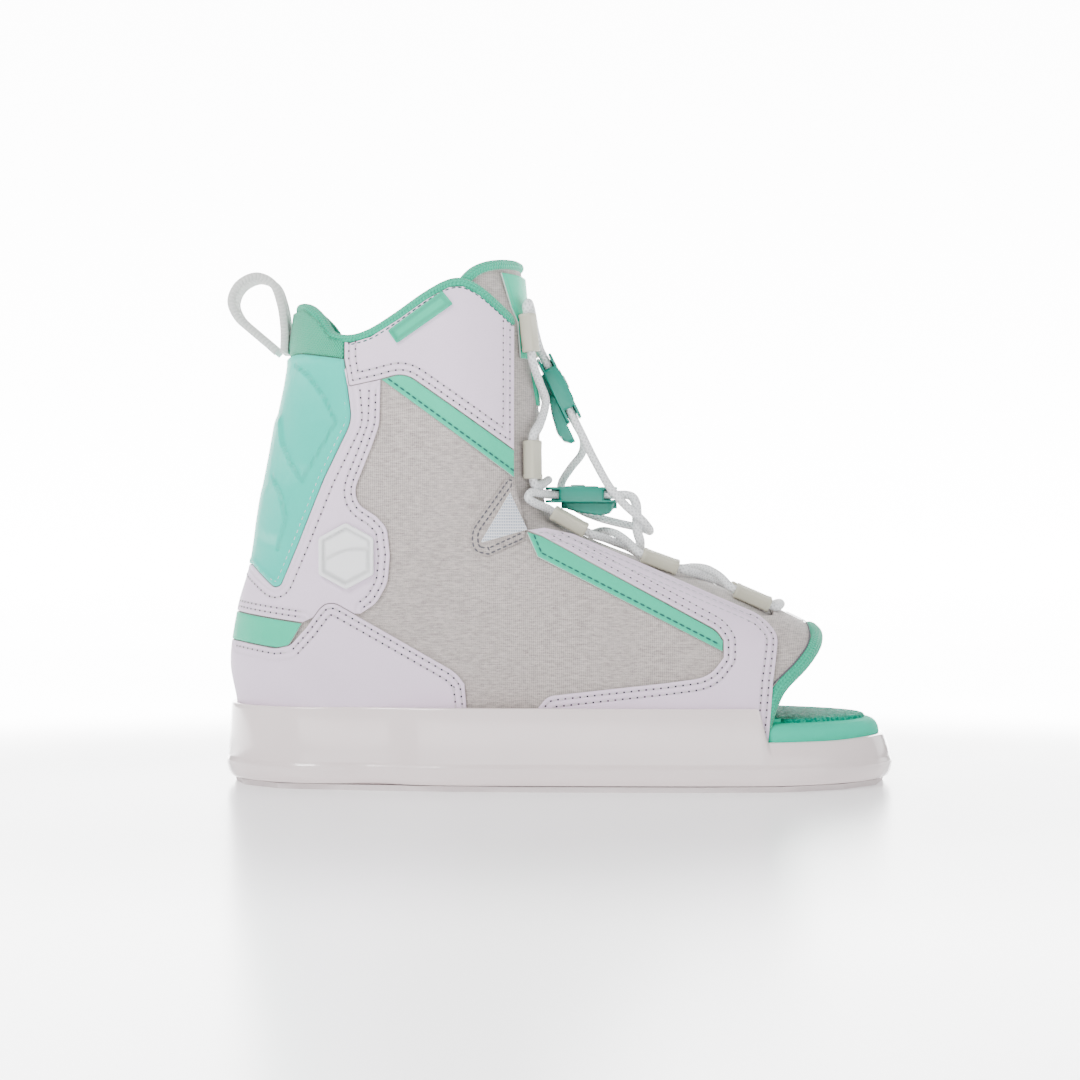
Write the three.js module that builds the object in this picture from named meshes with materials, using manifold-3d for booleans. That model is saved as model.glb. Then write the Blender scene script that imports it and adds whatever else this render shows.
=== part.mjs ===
// Open-toe wakeboard boot on its moulded base, in millimetres, +Z up.
// +X is the toe and -Y the wearer's left; the origin is the middle of the sole, on the board.
import * as THREE from "three";
import { mergeVertices } from "three/addons/utils/BufferGeometryUtils.js";
import Module from "manifold-3d";

const wasm = await Module();
wasm.setup();

// ---- driving dimensions ----
const BASE_LENGTH = 300;
const BOOT_HEIGHT = 234;
const BALL_WIDTH = 92; // upper at its widest, over the ball of the foot
const CUFF_WIDTH = 88; // upper at the collar
const FABRIC = 1.4; // heather quarter cloth
const OVERLAY = 1.2; // synthetic leather and moulded panels sewn on top of it
const PADDING = 5; // liner, tongue and bindings
const BADGE = 1.6;
const LABEL = 0.9;
const GAP = 0.3; // between pieces that lie on each other
const BINDING = 4.5; // height of the rolled collar and tongue edges
const TOE_BINDING = 7;
const BASE_FLOOR = 8;
const PAD = 2.5; // foam sheet under the base
const WALL_TOP = 36; // side wall of the base
const TRAY_TOP = 21.5; // lower rim round the toe
const TRAY_BACK = 90; // where the wall steps down to the rim
const POCKET_FRONT = TRAY_BACK + 1.7; // front of the room for the upper
const FOOTBED_HEEL_TOP = 24;
const FOOTBED_TOE_TOP = 29;
const GRIP = 1.4;
const SCREW_SPREAD = 152.4; // rows of board screws, front to back
const SCREW_PITCH = 40; // the two screws of a row, across
const SCREW_HOLE = 7;
const PLATE = 2.5;
const PLATE_LENGTH = 22;
const PLATE_WIDTH = 58;
const GUIDE_LENGTH = 17;
const GUIDE_WIDTH = 8.4;
const GUIDE_HEIGHT = 6.2;
const LACE = 3.8;
const BORE_CLEARANCE = 0.4; // all round a lace in a guide or a lock
const LOCK_LENGTH = 32.5;
const LOCK_WIDTH = 17;
const LOCK_HEIGHT = 7;
const LOCK_FORK = 6; // open slot at each end
const LACE_PITCH = 9; // the two laces through a lock
const CATCH_LENGTH = 24;
const CATCH_WIDTH = 9.6;
const LOOP_WIDTH = 20;
const LOOP_THICKNESS = 2.6;

// ---- side view of the boot, as [height, x], drawn at the size below and stretched to the one above ----
const DRAWN_LENGTH = 300;
const DRAWN_HEIGHT = 234;
const HEEL_LINE = [
  [6, -141], [36, -144], [54, -147], [77, -144], [97, -138.5],
  [122, -134.5], [158, -127], [180, -122.5], [214, -118], [246, -116],
];
const FRONT_LINE = [
  [6, 150], [36, 148], [48, 143], [60, 132], [72, 110], [86, 79], [101, 39], [112, 12],
  [118, 0], [124, -5], [132, -6.5], [161, -7.7], [189, -11], [217, -14], [246, -16.5],
];
const RING_HEIGHTS = [6, 22, 40, 54, 70, 86, 101, 112, 118, 126, 144, 163, 184, 204, 222, 246];
const RING_SIDE = 11; // points down each side of a ring

const stretchX = BASE_LENGTH / DRAWN_LENGTH;
const stretchZ = BOOT_HEIGHT / DRAWN_HEIGHT;

function between(table, at) {
  if (at <= table[0][0]) return table[0][1];
  for (let i = 1; i < table.length; i += 1) {
    const [a, va] = table[i - 1];
    const [b, vb] = table[i];
    if (at <= b) return va + ((vb - va) * (at - a)) / (b - a);
  }
  return table[table.length - 1][1];
}

const clamp01 = (v) => Math.min(1, Math.max(0, v));
const smooth = (v) => clamp01(v) ** 2 * (3 - 2 * clamp01(v));
const mix = (a, b, k) => a + (b - a) * k;

// The outer surface of the quarter cloth. `inset` moves it inwards along its own normal.
function edgeX(table, z, inset, outward) {
  const span = 5;
  const slope = (between(table, z + span) - between(table, z - span)) / (2 * span);
  const length = Math.hypot(1, slope);
  const normalZ = (-slope * outward) / length;
  return between(table, z + inset * normalZ) - (inset * outward) / length;
}

function halfWidth(x, z) {
  const foot = between([[-150, 34], [-110, 36], [-50, 38], [10, 42], [70, 46], [150, 44]], x);
  const shaft = between([[60, 38], [130, 40], [200, 44], [246, 45]], z);
  const footScale = BALL_WIDTH / 92;
  const shaftScale = CUFF_WIDTH / 88;
  return mix(foot * footScale, shaft * shaftScale, smooth((z - 60) / 70));
}

// Half-breadth of the boot at a place in drawn x, z: full width in the middle,
// drawn in along quarter ellipses at the heel and at the front.
function halfBreadth(x, z, inset) {
  const back = edgeX(HEEL_LINE, z, inset, -1);
  const front = edgeX(FRONT_LINE, z, inset, 1);
  const frontRound = mix(70, 42, smooth((z - 100) / 30));
  const backRound = 44;
  const b = 1 - clamp01((x - back) / backRound);
  const f = 1 - clamp01((front - x) / frontRound);
  return (halfWidth(x, z) - inset) * Math.sqrt(1 - b * b) * Math.sqrt(1 - f * f);
}

// ---- solids ----
function toManifold(geometry) {
  const bare = geometry.index ? geometry.toNonIndexed() : geometry.clone();
  bare.deleteAttribute("normal");
  bare.deleteAttribute("uv");
  const merged = mergeVertices(bare, 1e-4);
  return new wasm.Manifold(new wasm.Mesh({
    numProp: 3,
    vertProperties: new Float32Array(merged.attributes.position.array),
    triVerts: new Uint32Array(merged.index.array),
  }));
}

function toGeometry(solid) {
  const mesh = solid.getMesh();
  const geometry = new THREE.BufferGeometry();
  geometry.setAttribute("position", new THREE.BufferAttribute(new Float32Array(mesh.vertProperties), 3));
  geometry.setIndex(new THREE.BufferAttribute(new Uint32Array(mesh.triVerts), 1));
  return geometry;
}

// A closed body skinned over rings of the same number of points, lowest ring first.
function skin(rings) {
  const count = rings[0].length;
  const vertices = rings.flat();
  const faces = [];
  for (let r = 0; r + 1 < rings.length; r += 1) {
    for (let i = 0; i < count; i += 1) {
      const a = r * count + i;
      const b = r * count + ((i + 1) % count);
      faces.push(a, b, b + count, a, b + count, a + count);
    }
  }
  const top = (rings.length - 1) * count;
  for (let i = 1; i + 1 < count; i += 1) {
    faces.push(0, i + 1, i, top, top + i, top + i + 1);
  }
  const geometry = new THREE.BufferGeometry();
  geometry.setAttribute("position", new THREE.Float32BufferAttribute(vertices.flat(), 3));
  geometry.setIndex(faces);
  return toManifold(geometry);
}

// One ring, anticlockwise seen from above: along the -Y side to the front, back along the +Y side.
function ring(z, back, front, breadthAt) {
  const near = [];
  const far = [];
  for (let i = 0; i <= RING_SIDE; i += 1) {
    const share = (1 - Math.cos((Math.PI * i) / RING_SIDE)) / 2;
    const x = mix(back, front, share);
    const y = i === 0 || i === RING_SIDE ? 0 : breadthAt(x);
    near.push([x * stretchX, -y, z * stretchZ]);
    if (i > 0 && i < RING_SIDE) far.unshift([x * stretchX, y, z * stretchZ]);
  }
  return near.concat(far);
}

const bodies = new Map();
function bootBody(inset) {
  if (!bodies.has(inset)) {
    bodies.set(inset, skin(RING_HEIGHTS.map((z) => ring(
      z,
      edgeX(HEEL_LINE, z, inset, -1),
      edgeX(FRONT_LINE, z, inset, 1),
      (x) => halfBreadth(x, z, inset),
    ))));
  }
  return bodies.get(inset);
}

// Side-view outline in drawn x, z; a third number rounds that corner.
function outline(points) {
  const corners = points.map(([x, z, radius]) => [new THREE.Vector2(x, z), radius ?? 0]);
  const rounded = [];
  corners.forEach(([corner, radius], i) => {
    const [before] = corners[(i + corners.length - 1) % corners.length];
    const [after] = corners[(i + 1) % corners.length];
    if (radius === 0) {
      rounded.push(corner);
      return;
    }
    const from = corner.clone().lerp(before, Math.min(0.5, radius / corner.distanceTo(before)));
    const to = corner.clone().lerp(after, Math.min(0.5, radius / corner.distanceTo(after)));
    rounded.push(...new THREE.QuadraticBezierCurve(from, corner, to).getPoints(3));
  });
  return rounded;
}

function grow(points, distance) {
  const turn = THREE.ShapeUtils.isClockWise(points) ? -1 : 1;
  return points.map((point, i) => {
    const before = points[(i + points.length - 1) % points.length];
    const after = points[(i + 1) % points.length];
    const a = point.clone().sub(before).normalize();
    const b = after.clone().sub(point).normalize();
    const bend = Math.max(0.4, 1 + a.dot(b));
    const out = new THREE.Vector2(a.y + b.y, -a.x - b.x).multiplyScalar((turn * distance) / bend);
    return point.clone().add(out);
  });
}

function prism(points, yLow = -90, yHigh = 90) {
  const shape = new THREE.Shape(points.map((p) => new THREE.Vector2(p.x * stretchX, p.y * stretchZ)));
  const geometry = new THREE.ExtrudeGeometry(shape, { depth: yHigh - yLow, bevelEnabled: false });
  geometry.rotateX(Math.PI / 2);
  geometry.translate(0, yHigh, 0);
  return toManifold(geometry);
}

function box(low, high) {
  const size = high.map((v, i) => v - low[i]);
  const geometry = new THREE.BoxGeometry(...size);
  geometry.translate(...low.map((v, i) => v + size[i] / 2));
  return toManifold(geometry);
}

function cylinder(radius, length, sides) {
  return toManifold(new THREE.CylinderGeometry(radius, radius, length, sides));
}

// ---- assembly ----
const boot = new THREE.Group();
const COLOURS = {
  lilac: [0xd8d1d9, 0.5], mint: [0x83d0b9, 0.5], shell: [0x86cbbd, 0.45], knit: [0x50b896, 0.8],
  heather: [0xc5c0be, 0.9], mesh: [0xdfe3ec, 0.85], base: [0xdcd8d7, 0.25], foam: [0x6dd0b8, 0.7],
  grip: [0x3fa386, 0.9], lace: [0xd5d8d8, 0.7], webbing: [0xd0d2cf, 0.8], guide: [0xbdbbab, 0.6],
  lock: [0x2da58b, 0.4], badge: [0xeceeed, 0.3], metal: [0x9a9c9e, 0.35], pad: [0xc9bfbf, 0.8],
};

function add(name, solid, colour, parent = boot) {
  const [color, roughness] = COLOURS[colour];
  const material = new THREE.MeshStandardMaterial({ color, roughness, metalness: colour === "metal" ? 1 : 0 });
  const mesh = new THREE.Mesh(solid.isBufferGeometry ? solid : toGeometry(solid), material);
  mesh.name = name;
  parent.add(mesh);
  return mesh;
}

const SIDES = { left: [-90, -GAP / 2], right: [GAP / 2, 90] };
function addPair(name, outer, inner, shape, cuts, colour) {
  for (const [side, [low, high]] of Object.entries(SIDES)) {
    add(`${name}_${side}`, layer(outer, inner, shape, cuts, low, high), colour);
  }
}

// The part of one layer of the upper inside a side-view outline, less the cuts.
function layer(outer, inner, shape, cuts = [], yLow = -90, yHigh = 90) {
  const block = bootBody(outer).intersect(prism(shape, yLow, yHigh)).subtract(bootBody(inner));
  return cuts.reduce((solid, cut) => solid.subtract(cut), block);
}

const cutter = (shape) => prism(grow(shape, GAP));

// Depths of the layers below the outer face of the quarter cloth.
const clothIn = FABRIC;
const linerOut = clothIn + GAP;
const linerIn = linerOut + PADDING;
const panelIn = -GAP;
const panelOut = panelIn - OVERLAY;
const bindingOut = -0.9;
const pocketFace = panelOut - GAP;

// ---- outlines ----
const THROAT_X = -20;
const SOLE_LINE = BASE_FLOOR + 2; // lower edge of the upper, inside the base
const collarTop = [
  [-124, 213], [-113, 213.5], [-106, 208], [-100, 199.5], [-91, 197.5], [-82, 200], [-70, 207.5],
  [-58, 216], [-48, 221.5], [-42, 222], [-35, 218.5], [-20, 206],
];
const collarBand = outline([
  ...collarTop,
  ...collarTop.map(([x, z]) => [x, z - BINDING]).reverse(),
]);
const aboveCollar = outline([
  [-160, 213], ...collarTop, [0, 190], [0, 260], [-160, 260],
].map(([x, z]) => [x, z - (z < 250 ? BINDING : 0)]));
const toeEdge = [[117, 82], [117, 66], [109.5, 56], [98, 45], [94, 37], [91.2, 28], [91, SOLE_LINE]];
const toeBand = outline([...toeEdge, ...toeEdge.map(([x, z]) => [x - TOE_BINDING, z]).reverse()]);
const beyondToe = outline([
  ...toeEdge.map(([x, z]) => [x - TOE_BINDING, z]), [80, 0], [160, 0], [160, 90],
]);
const vamp = outline([
  [-14, 113], [-7, 114.2], [6, 111.3], [36, 98.5], [65, 85.8], [88, 76, 5], [95, 68, 4], [92, 48], [90, 24],
  [88, SOLE_LINE], [-12, SOLE_LINE], [-12, 33], [-5.5, 41, 3], [46, 47], [64, 49.5, 7], [70.4, 58], [70.5, 65.5],
  [67.8, 69.8, 3], [-7.7, 110.6],
]);
const vampStrip = outline([
  [-14.2, 112.2], [-7.9, 110.2], [67.4, 69.4, 3], [70.1, 65.2], [69.9, 60.7], [-9.7, 101.6],
]);
const ankleMesh = outline([
  [-20.5, 135.5], [-23, 136], [-39.5, 112.5, 4], [-38.5, 103, 5], [-31, 101.5], [-15.5, 108.5], [-15.2, 112.6],
]);
const cuff = outline([
  [-93.5, 260], [-93.5, 187], [-91.4, 175.4], [-79, 178], [-67.4, 181.3], [THROAT_X, 148.2], [THROAT_X, 260],
]);
const cuffStrip = outline([[-77.3, 178], [-67.4, 180.8], [THROAT_X, 147.7], [THROAT_X, 136.2]]);
const heelShell = outline([
  [-160, 99.5], [-137, 97.6], [-125.5, 87.8, 2], [-122.5, 89, 1], [-114.3, 107.7], [-103, 135.2],
  [-90.5, 160.3, 5], [-94, 187], [-115.4, 190.6], [-160, 186],
]);
const heelBand = outline([
  [-160, 77.4], [-143, 76.2], [-112.8, 72.2], [-118.7, 62.4, 2], [-124.7, 61.6], [-142, 63.9], [-160, 65],
]);
const counter = outline([
  [-160, 64.6], [-142, 63.5], [-124.7, 61, 2], [-117.8, 62.6, 2], [-110.6, 70.5], [-103, 80.6, 3],
  [-98, 81, 2], [-45.4, 51.1, 4], [-41.6, 46], [-40.2, 30], [-40, SOLE_LINE], [-160, SOLE_LINE],
]);
const saddle = outline([
  [-160, 78], [-143, 76.7], [-112.4, 72.7], [-103, 77], [-87, 76.5], [-80, 81, 3], [-75, 90, 3],
  [-74, 102], [-75.2, 114, 3], [-80, 119], [-87.6, 124, 3], [-89.3, 130.4, 4], [-81.8, 149], [-78.3, 158.6, 3],
  [-77.8, 175.2], [-91, 175], [-160, 175],
]);
const heelTab = outline([[-160, 188], [-115.4, 191], [-94.3, 187.4], [-94, 204], [-94, 260], [-160, 260]]);
const quarter = outline([
  [-160, SOLE_LINE], [-160, 260], [THROAT_X, 260], [THROAT_X, 135.5], [-14.7, 113.3], [-7, 113.2],
  [6, 109.8], [36, 97.2], [65, 84.8], [78, 79], [78, SOLE_LINE],
]);
const toePiece = outline([[78 + GAP, 110], [78 + GAP, SOLE_LINE], [160, SOLE_LINE], [160, 110]]);
const throatFront = outline([[60, 120], [60, 87], [78, 80], [89, 75.4], [95, 75.4], [95, 120]]);
const linerShape = outline([[-160, SOLE_LINE], [-160, 260], [0, 260], [160, 110], [160, SOLE_LINE]]);
const tongueTop = [[-44, 221], [-37, 228.3], [-27, 232], [0, 234]];
const tongue = outline([
  ...tongueTop, [60, 234], [92, 100], [92, 57], [60, 66], [-10, 92, 10], [-34, 122, 15], [-42, 160],
]);
const tongueBand = outline([...tongueTop, ...tongueTop.map(([x, z]) => [x, z - BINDING]).reverse()]);
const aboveTongueBody = outline([
  ...tongueTop.map(([x, z]) => [x, z - BINDING]), [60, 230], [60, 260], [-70, 260], [-70, 216.5],
]);
const tongueStrip = outline([[-25.5, 226], [-21, 211], [-18.2, 205], [-17, 189], [10, 189], [10, 226]]);
const tongueTab = outline([[-20, 187], [10, 187], [10, 169], [-20, 169]]);
const label = outline([[-74.5, 199], [-51, 216.2], [-46.3, 210.5], [-70.6, 193.5]]);
const BADGE_X = -93;
const BADGE_Z = 101.6;
const badge = outline([
  [0, 14.5, 1], [12, 8, 1], [12, -8, 1], [0, -14.5, 1], [-12, -8, 1], [-12, 8, 1],
].map(([x, z, r]) => [BADGE_X + x, BADGE_Z + z, r]));

// ---- upper ----
const cutCollar = cutter(aboveCollar);
const cutTongue = cutter(tongue);
const cutToe = cutter(beyondToe);

addPair("liner", linerOut, linerIn, linerShape, [cutCollar, cutTongue, cutToe], "knit");
addPair("quarter", 0, clothIn, quarter, [cutCollar, cutToe], "heather");
add("toe_fabric", layer(0, clothIn, toePiece, [cutToe, prism(throatFront)]), "heather");
addPair("vamp_panel", panelOut, panelIn, vamp, [], "lilac");
addPair("vamp_strip", panelOut, panelIn, vampStrip, [cutter(vamp)], "mint");
addPair("ankle_mesh", panelOut, panelIn, ankleMesh, [cutter(vamp), cutter(vampStrip), cutter(cuffStrip)], "mesh");
addPair("cuff_panel", panelOut, panelIn, cuff, [cutCollar], "lilac");
addPair("cuff_strip", panelOut, panelIn, cuffStrip, [cutter(cuff)], "mint");
add("heel_shell", layer(panelOut, panelIn, heelShell, [cutter(cuff)]), "shell");
add("heel_counter", layer(panelOut, panelIn, counter), "lilac");
add("heel_band", layer(panelOut, panelIn, heelBand, [cutter(counter)]), "mint");
add("heel_saddle", layer(panelOut, panelIn, saddle, [heelShell, counter, heelBand, cuff, cuffStrip].map(cutter)), "lilac");
add("heel_tab", layer(bindingOut, panelIn, heelTab, [cutCollar, cutter(cuff), cutter(heelShell)]), "knit");
const tongueRoom = bootBody(clothIn).intersect(cutTongue);
add("collar_binding", layer(bindingOut, linerIn, collarBand, [tongueRoom]), "knit");
const underVamp = cutter(vamp).subtract(bootBody(0));
add("toe_binding", layer(bindingOut, linerIn, toeBand, [underVamp, cutter(tongue)]), "knit");
add("tongue", layer(linerOut, linerIn, tongue, [cutter(aboveTongueBody)]), "heather");
const cuffSide = cutter(outline([[-160, 0], ...collarTop, [THROAT_X, 0]])).subtract(bootBody(linerOut));
add("tongue_binding", layer(linerOut - 0.8, linerIn + 0.8, tongueBand, [cuffSide]), "knit");
add("tongue_strip", layer(linerOut - 1.3, linerOut - GAP, tongueStrip), "mint");
add("tongue_tab", layer(linerOut - 1.8, linerOut - GAP, tongueTab, [], -9, 9), "mint");
addPair("cuff_label", panelOut - GAP - LABEL, panelOut - GAP, label, [], "mint");
addPair("ankle_badge", panelOut - GAP - BADGE, panelOut - GAP, badge, [], "badge");

// ---- base ----
// Half-breadth of the base: narrow under the heel, flared under the foot, round at both ends.
const BASE_ROUND_BACK = 46;
const BASE_ROUND_FRONT = 64;
function baseBreadth(x, inset) {
  const half = BASE_LENGTH / 2 / stretchX;
  const fullFoot = between([[-150, 42], [-85, 43.5], [-50, 51], [0, 53], [60, 54.5], [150, 52]], x);
  const b = 1 - clamp01((x + half - inset) / BASE_ROUND_BACK);
  const f = 1 - clamp01((half - inset - x) / BASE_ROUND_FRONT);
  return (fullFoot * (BALL_WIDTH / 92) - inset) * Math.sqrt(1 - b * b) * Math.sqrt(1 - f * f);
}

function baseBody(levels) {
  const half = BASE_LENGTH / 2 / stretchX;
  return skin(levels.map(([z, inset]) => ring(z / stretchZ, inset - half, half - inset, (x) => baseBreadth(x, inset))));
}

function screwHoles(low, high, sides) {
  const holes = [];
  for (const x of [-SCREW_SPREAD / 2, SCREW_SPREAD / 2]) {
    for (const y of [-SCREW_PITCH / 2, SCREW_PITCH / 2]) {
      const hole = cylinder(SCREW_HOLE / 2, high - low, sides).rotate([90, 0, 0]);
      holes.push(hole.translate([x, y, (low + high) / 2]));
    }
  }
  return holes;
}

function buildBase() {
  const wide = BASE_LENGTH;
  let base = baseBody([[PAD + GAP, 2.5], [7, 0.8], [14, 0], [TRAY_TOP, 0.8], [WALL_TOP, 4.4]]);
  const step = box([TRAY_BACK * stretchX, -wide, TRAY_TOP], [wide, wide, wide]);
  base = base.subtract(step);
  const pocket = bootBody(pocketFace).subtract(box([POCKET_FRONT * stretchX, -wide, 0], [wide, wide, wide]));
  base = base.subtract(pocket.subtract(box([-wide, -wide, 0], [wide, wide, BASE_FLOOR])));
  base = base.subtract(footbedToe(GAP).subtract(box([-wide, -wide, 0], [wide, wide, BASE_FLOOR])));
  for (const hole of screwHoles(0, WALL_TOP, 12)) {
    base = base.subtract(hole);
  }
  return base;
}

// Toe end of the footbed, which fills the tray in front of the upper.
function footbedToe(extra) {
  const half = BASE_LENGTH / 2 / stretchX;
  const back = 50;
  const levels = [[BASE_FLOOR + GAP - extra, 7], [TRAY_TOP, 6], [FOOTBED_TOE_TOP - 3, 7], [FOOTBED_TOE_TOP, 9.5]];
  const block = skin(levels.map(([z, inset]) => ring(
    z / stretchZ, back, half - inset + extra, (x) => baseBreadth(x, inset - extra),
  )));
  const wide = BASE_LENGTH;
  return block.intersect(box([(POCKET_FRONT + GAP) * stretchX - extra, -wide, 0], [wide, wide, wide]));
}

function buildFootbed() {
  const wide = BASE_LENGTH;
  const low = BASE_FLOOR + GAP;
  const inside = bootBody(linerIn + GAP);
  const body = inside.intersect(box([-wide, -wide, low], [(POCKET_FRONT + 2) * stretchX, wide, FOOTBED_HEEL_TOP]));
  let footbed = body.add(footbedToe(0));
  for (const x of [-SCREW_SPREAD / 2, SCREW_SPREAD / 2]) {
    const half = [PLATE_LENGTH / 2 + GAP, PLATE_WIDTH / 2 + GAP];
    footbed = footbed.subtract(box([x - half[0], -half[1], 0], [x + half[0], half[1], low + PLATE + GAP]));
  }
  for (const hole of screwHoles(0, wide, 12)) {
    footbed = footbed.subtract(hole);
  }
  return footbed;
}

function buildGrip() {
  const half = BASE_LENGTH / 2 / stretchX;
  const low = FOOTBED_TOE_TOP + GAP;
  const levels = [[low, 12.5], [low + GRIP, 13.5]];
  const block = skin(levels.map(([z, inset]) => ring(z / stretchZ, 50, half - inset, (x) => baseBreadth(x, inset))));
  const wide = BASE_LENGTH;
  return block.intersect(box([(POCKET_FRONT + 4) * stretchX, -wide, 0], [wide, wide, wide]));
}

function buildPad() {
  let pad = baseBody([[0, 4], [PAD, 3.2]]);
  for (const hole of screwHoles(-1, PAD + 1, 12)) {
    pad = pad.subtract(hole);
  }
  return pad;
}

add("base", buildBase(), "base");
add("bottom_pad", buildPad(), "pad");
add("footbed", buildFootbed(), "foam");
add("toe_grip", buildGrip(), "grip");
for (const [name, x] of [["mounting_plate_rear", -SCREW_SPREAD / 2], ["mounting_plate_front", SCREW_SPREAD / 2]]) {
  const low = BASE_FLOOR + GAP;
  const half = [PLATE_LENGTH / 2, PLATE_WIDTH / 2];
  const plate = box([x - half[0], -half[1], low], [x + half[0], half[1], low + PLATE]);
  add(name, screwHoles(low - 1, low + PLATE + 1, 12).reduce((solid, hole) => solid.subtract(hole), plate), "metal");
}

// ---- lace guides: flat webbing tubes along both edges of the throat ----
// Place on the outer surface at a given breadth, on the shaft by its height, on the instep by its x.
function throatPoint(kind, at, breadth) {
  let low = kind === "shaft" ? -60 : 60;
  let high = kind === "shaft" ? edgeX(FRONT_LINE, at, 0, 1) : 130;
  for (let i = 0; i < 40; i += 1) {
    const middle = (low + high) / 2;
    const [x, z] = kind === "shaft" ? [middle, at] : [at, middle];
    if (halfBreadth(x, z, 0) > breadth) low = middle;
    else high = middle;
  }
  const [x, z] = kind === "shaft" ? [low, at] : [at, low];
  const step = 0.5;
  const normal = new THREE.Vector3(
    (halfBreadth(x - step, z, 0) - halfBreadth(x + step, z, 0)) / (2 * step),
    1,
    (halfBreadth(x, z - step, 0) - halfBreadth(x, z + step, 0)) / (2 * step),
  ).normalize();
  return { point: new THREE.Vector3(x * stretchX, breadth, z * stretchZ), normal };
}

const GUIDES = [
  { name: "collar", kind: "shaft", at: 200, breadth: 19, out: 3 },
  { name: "shin", kind: "shaft", at: 144, breadth: 22, out: 1.9 },
  { name: "ankle", kind: "instep", at: 3, breadth: 14.5, out: 2.6 },
  { name: "instep", kind: "instep", at: 44, breadth: 15.5, out: 2 },
  { name: "toe", kind: "instep", at: 85, breadth: 15.5, out: 1.9 },
];

function guideFrame({ kind, at, breadth, out }, side) {
  const half = GUIDE_LENGTH / 2;
  const { point, normal } = throatPoint(kind, at, breadth);
  const ahead = throatPoint(kind, at + (kind === "shaft" ? -half : half), breadth).point;
  const behind = throatPoint(kind, at - (kind === "shaft" ? -half : half), breadth).point;
  const axis = ahead.sub(behind).normalize();
  const across = new THREE.Vector3().crossVectors(normal, axis).normalize();
  const up = new THREE.Vector3().crossVectors(axis, across);
  const centre = point.clone().addScaledVector(up, out);
  const flip = (v) => new THREE.Vector3(v.x, v.y * side, v.z);
  return { centre: flip(centre), axis: flip(axis), up: flip(up) };
}

function guideGeometry() {
  const w = GUIDE_WIDTH / 2;
  const h = GUIDE_HEIGHT / 2;
  const corner = 1.6;
  const shape = new THREE.Shape([
    [-w + corner, -h], [w - corner, -h], [w, -h + corner], [w, h - corner],
    [w - corner, h], [-w + corner, h], [-w, h - corner], [-w, -h + corner],
  ].map(([x, y]) => new THREE.Vector2(x, y)));
  const bore = new THREE.Path();
  bore.absarc(0, 0, LACE / 2 + BORE_CLEARANCE, 0, 2 * Math.PI, true);
  shape.holes.push(bore);
  const options = { depth: GUIDE_LENGTH, bevelEnabled: false, curveSegments: 5 };
  return toGeometry(toManifold(new THREE.ExtrudeGeometry(shape, options).translate(0, 0, -GUIDE_LENGTH / 2)));
}

for (const guide of GUIDES) {
  for (const [side, sign] of [["left", -1], ["right", 1]]) {
    const { centre, axis, up } = guideFrame(guide, sign);
    const across = new THREE.Vector3().crossVectors(up, axis);
    const mesh = add(`lace_guide_${guide.name}_${side}`, guideGeometry(), "guide");
    mesh.quaternion.setFromRotationMatrix(new THREE.Matrix4().makeBasis(across, up, axis));
    mesh.position.copy(centre);
  }
}

// ---- cord locks: two bores for the lace, forked ends, and a catch that slides on a rail below ----
// Their own frame: x along the lace, away from the guides; z away from the foot.
const RAIL_BACK = -9;
const RAIL_FRONT = LOCK_LENGTH / 2;
const STEM = 3;
const FLANGE = 5.4;
const STEM_HEIGHT = 1.5;
const FLANGE_HEIGHT = 1.2;

function rail(extra) {
  const top = -LOCK_HEIGHT / 2 + (extra ? 1 : 0.5);
  const shoulder = -LOCK_HEIGHT / 2 - STEM_HEIGHT;
  const [back, front] = extra ? [RAIL_BACK - 40, RAIL_FRONT + 40] : [RAIL_BACK, RAIL_FRONT];
  const stem = box([back, -STEM / 2 - extra, shoulder - extra], [front, STEM / 2 + extra, top]);
  const flange = box(
    [back, -FLANGE / 2 - extra, shoulder - FLANGE_HEIGHT - extra],
    [front, FLANGE / 2 + extra, shoulder + extra],
  );
  return stem.add(flange);
}

function lockBody() {
  const [l, w, h] = [LOCK_LENGTH / 2, LOCK_WIDTH / 2, LOCK_HEIGHT / 2];
  const tip = 1.6;
  const side = new THREE.Shape([
    [-l, -h + tip], [-l + tip, -h], [l - tip, -h], [l, -h + tip],
    [l, h - tip], [l - tip, h], [-l + tip, h], [-l, h - tip],
  ].map(([x, z]) => new THREE.Vector2(x, z)));
  let body = toManifold(new THREE.ExtrudeGeometry(side, { depth: 2 * w, bevelEnabled: false })
    .rotateX(Math.PI / 2).translate(0, w, 0));
  const bore = LACE / 2 + BORE_CLEARANCE;
  for (const y of [-LACE_PITCH / 2, LACE_PITCH / 2]) {
    body = body.subtract(cylinder(bore, 2 * LOCK_LENGTH, 10).rotate([0, 0, 90]).translate([0, y, 0]));
  }
  for (const x of [-l - 1, l - LOCK_FORK]) {
    body = body.subtract(box([x, -w - 1, -bore], [x + LOCK_FORK + 1, w + 1, bore]));
  }
  return body.add(rail(0));
}

function lockCatch() {
  const top = -LOCK_HEIGHT / 2 - GAP;
  const leaf = new THREE.Shape([
    [0, top], [0, top - 1.8], [8, top - 4.4], [17, top - 6], [22, top - 4.8], [CATCH_LENGTH, top - 2.4],
    [CATCH_LENGTH, top],
  ].map(([x, z]) => new THREE.Vector2(x, z)));
  const block = toManifold(new THREE.ExtrudeGeometry(leaf, { depth: CATCH_WIDTH, bevelEnabled: false })
    .rotateX(Math.PI / 2).translate(0, CATCH_WIDTH / 2, 0));
  return block.subtract(rail(GAP));
}

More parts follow.
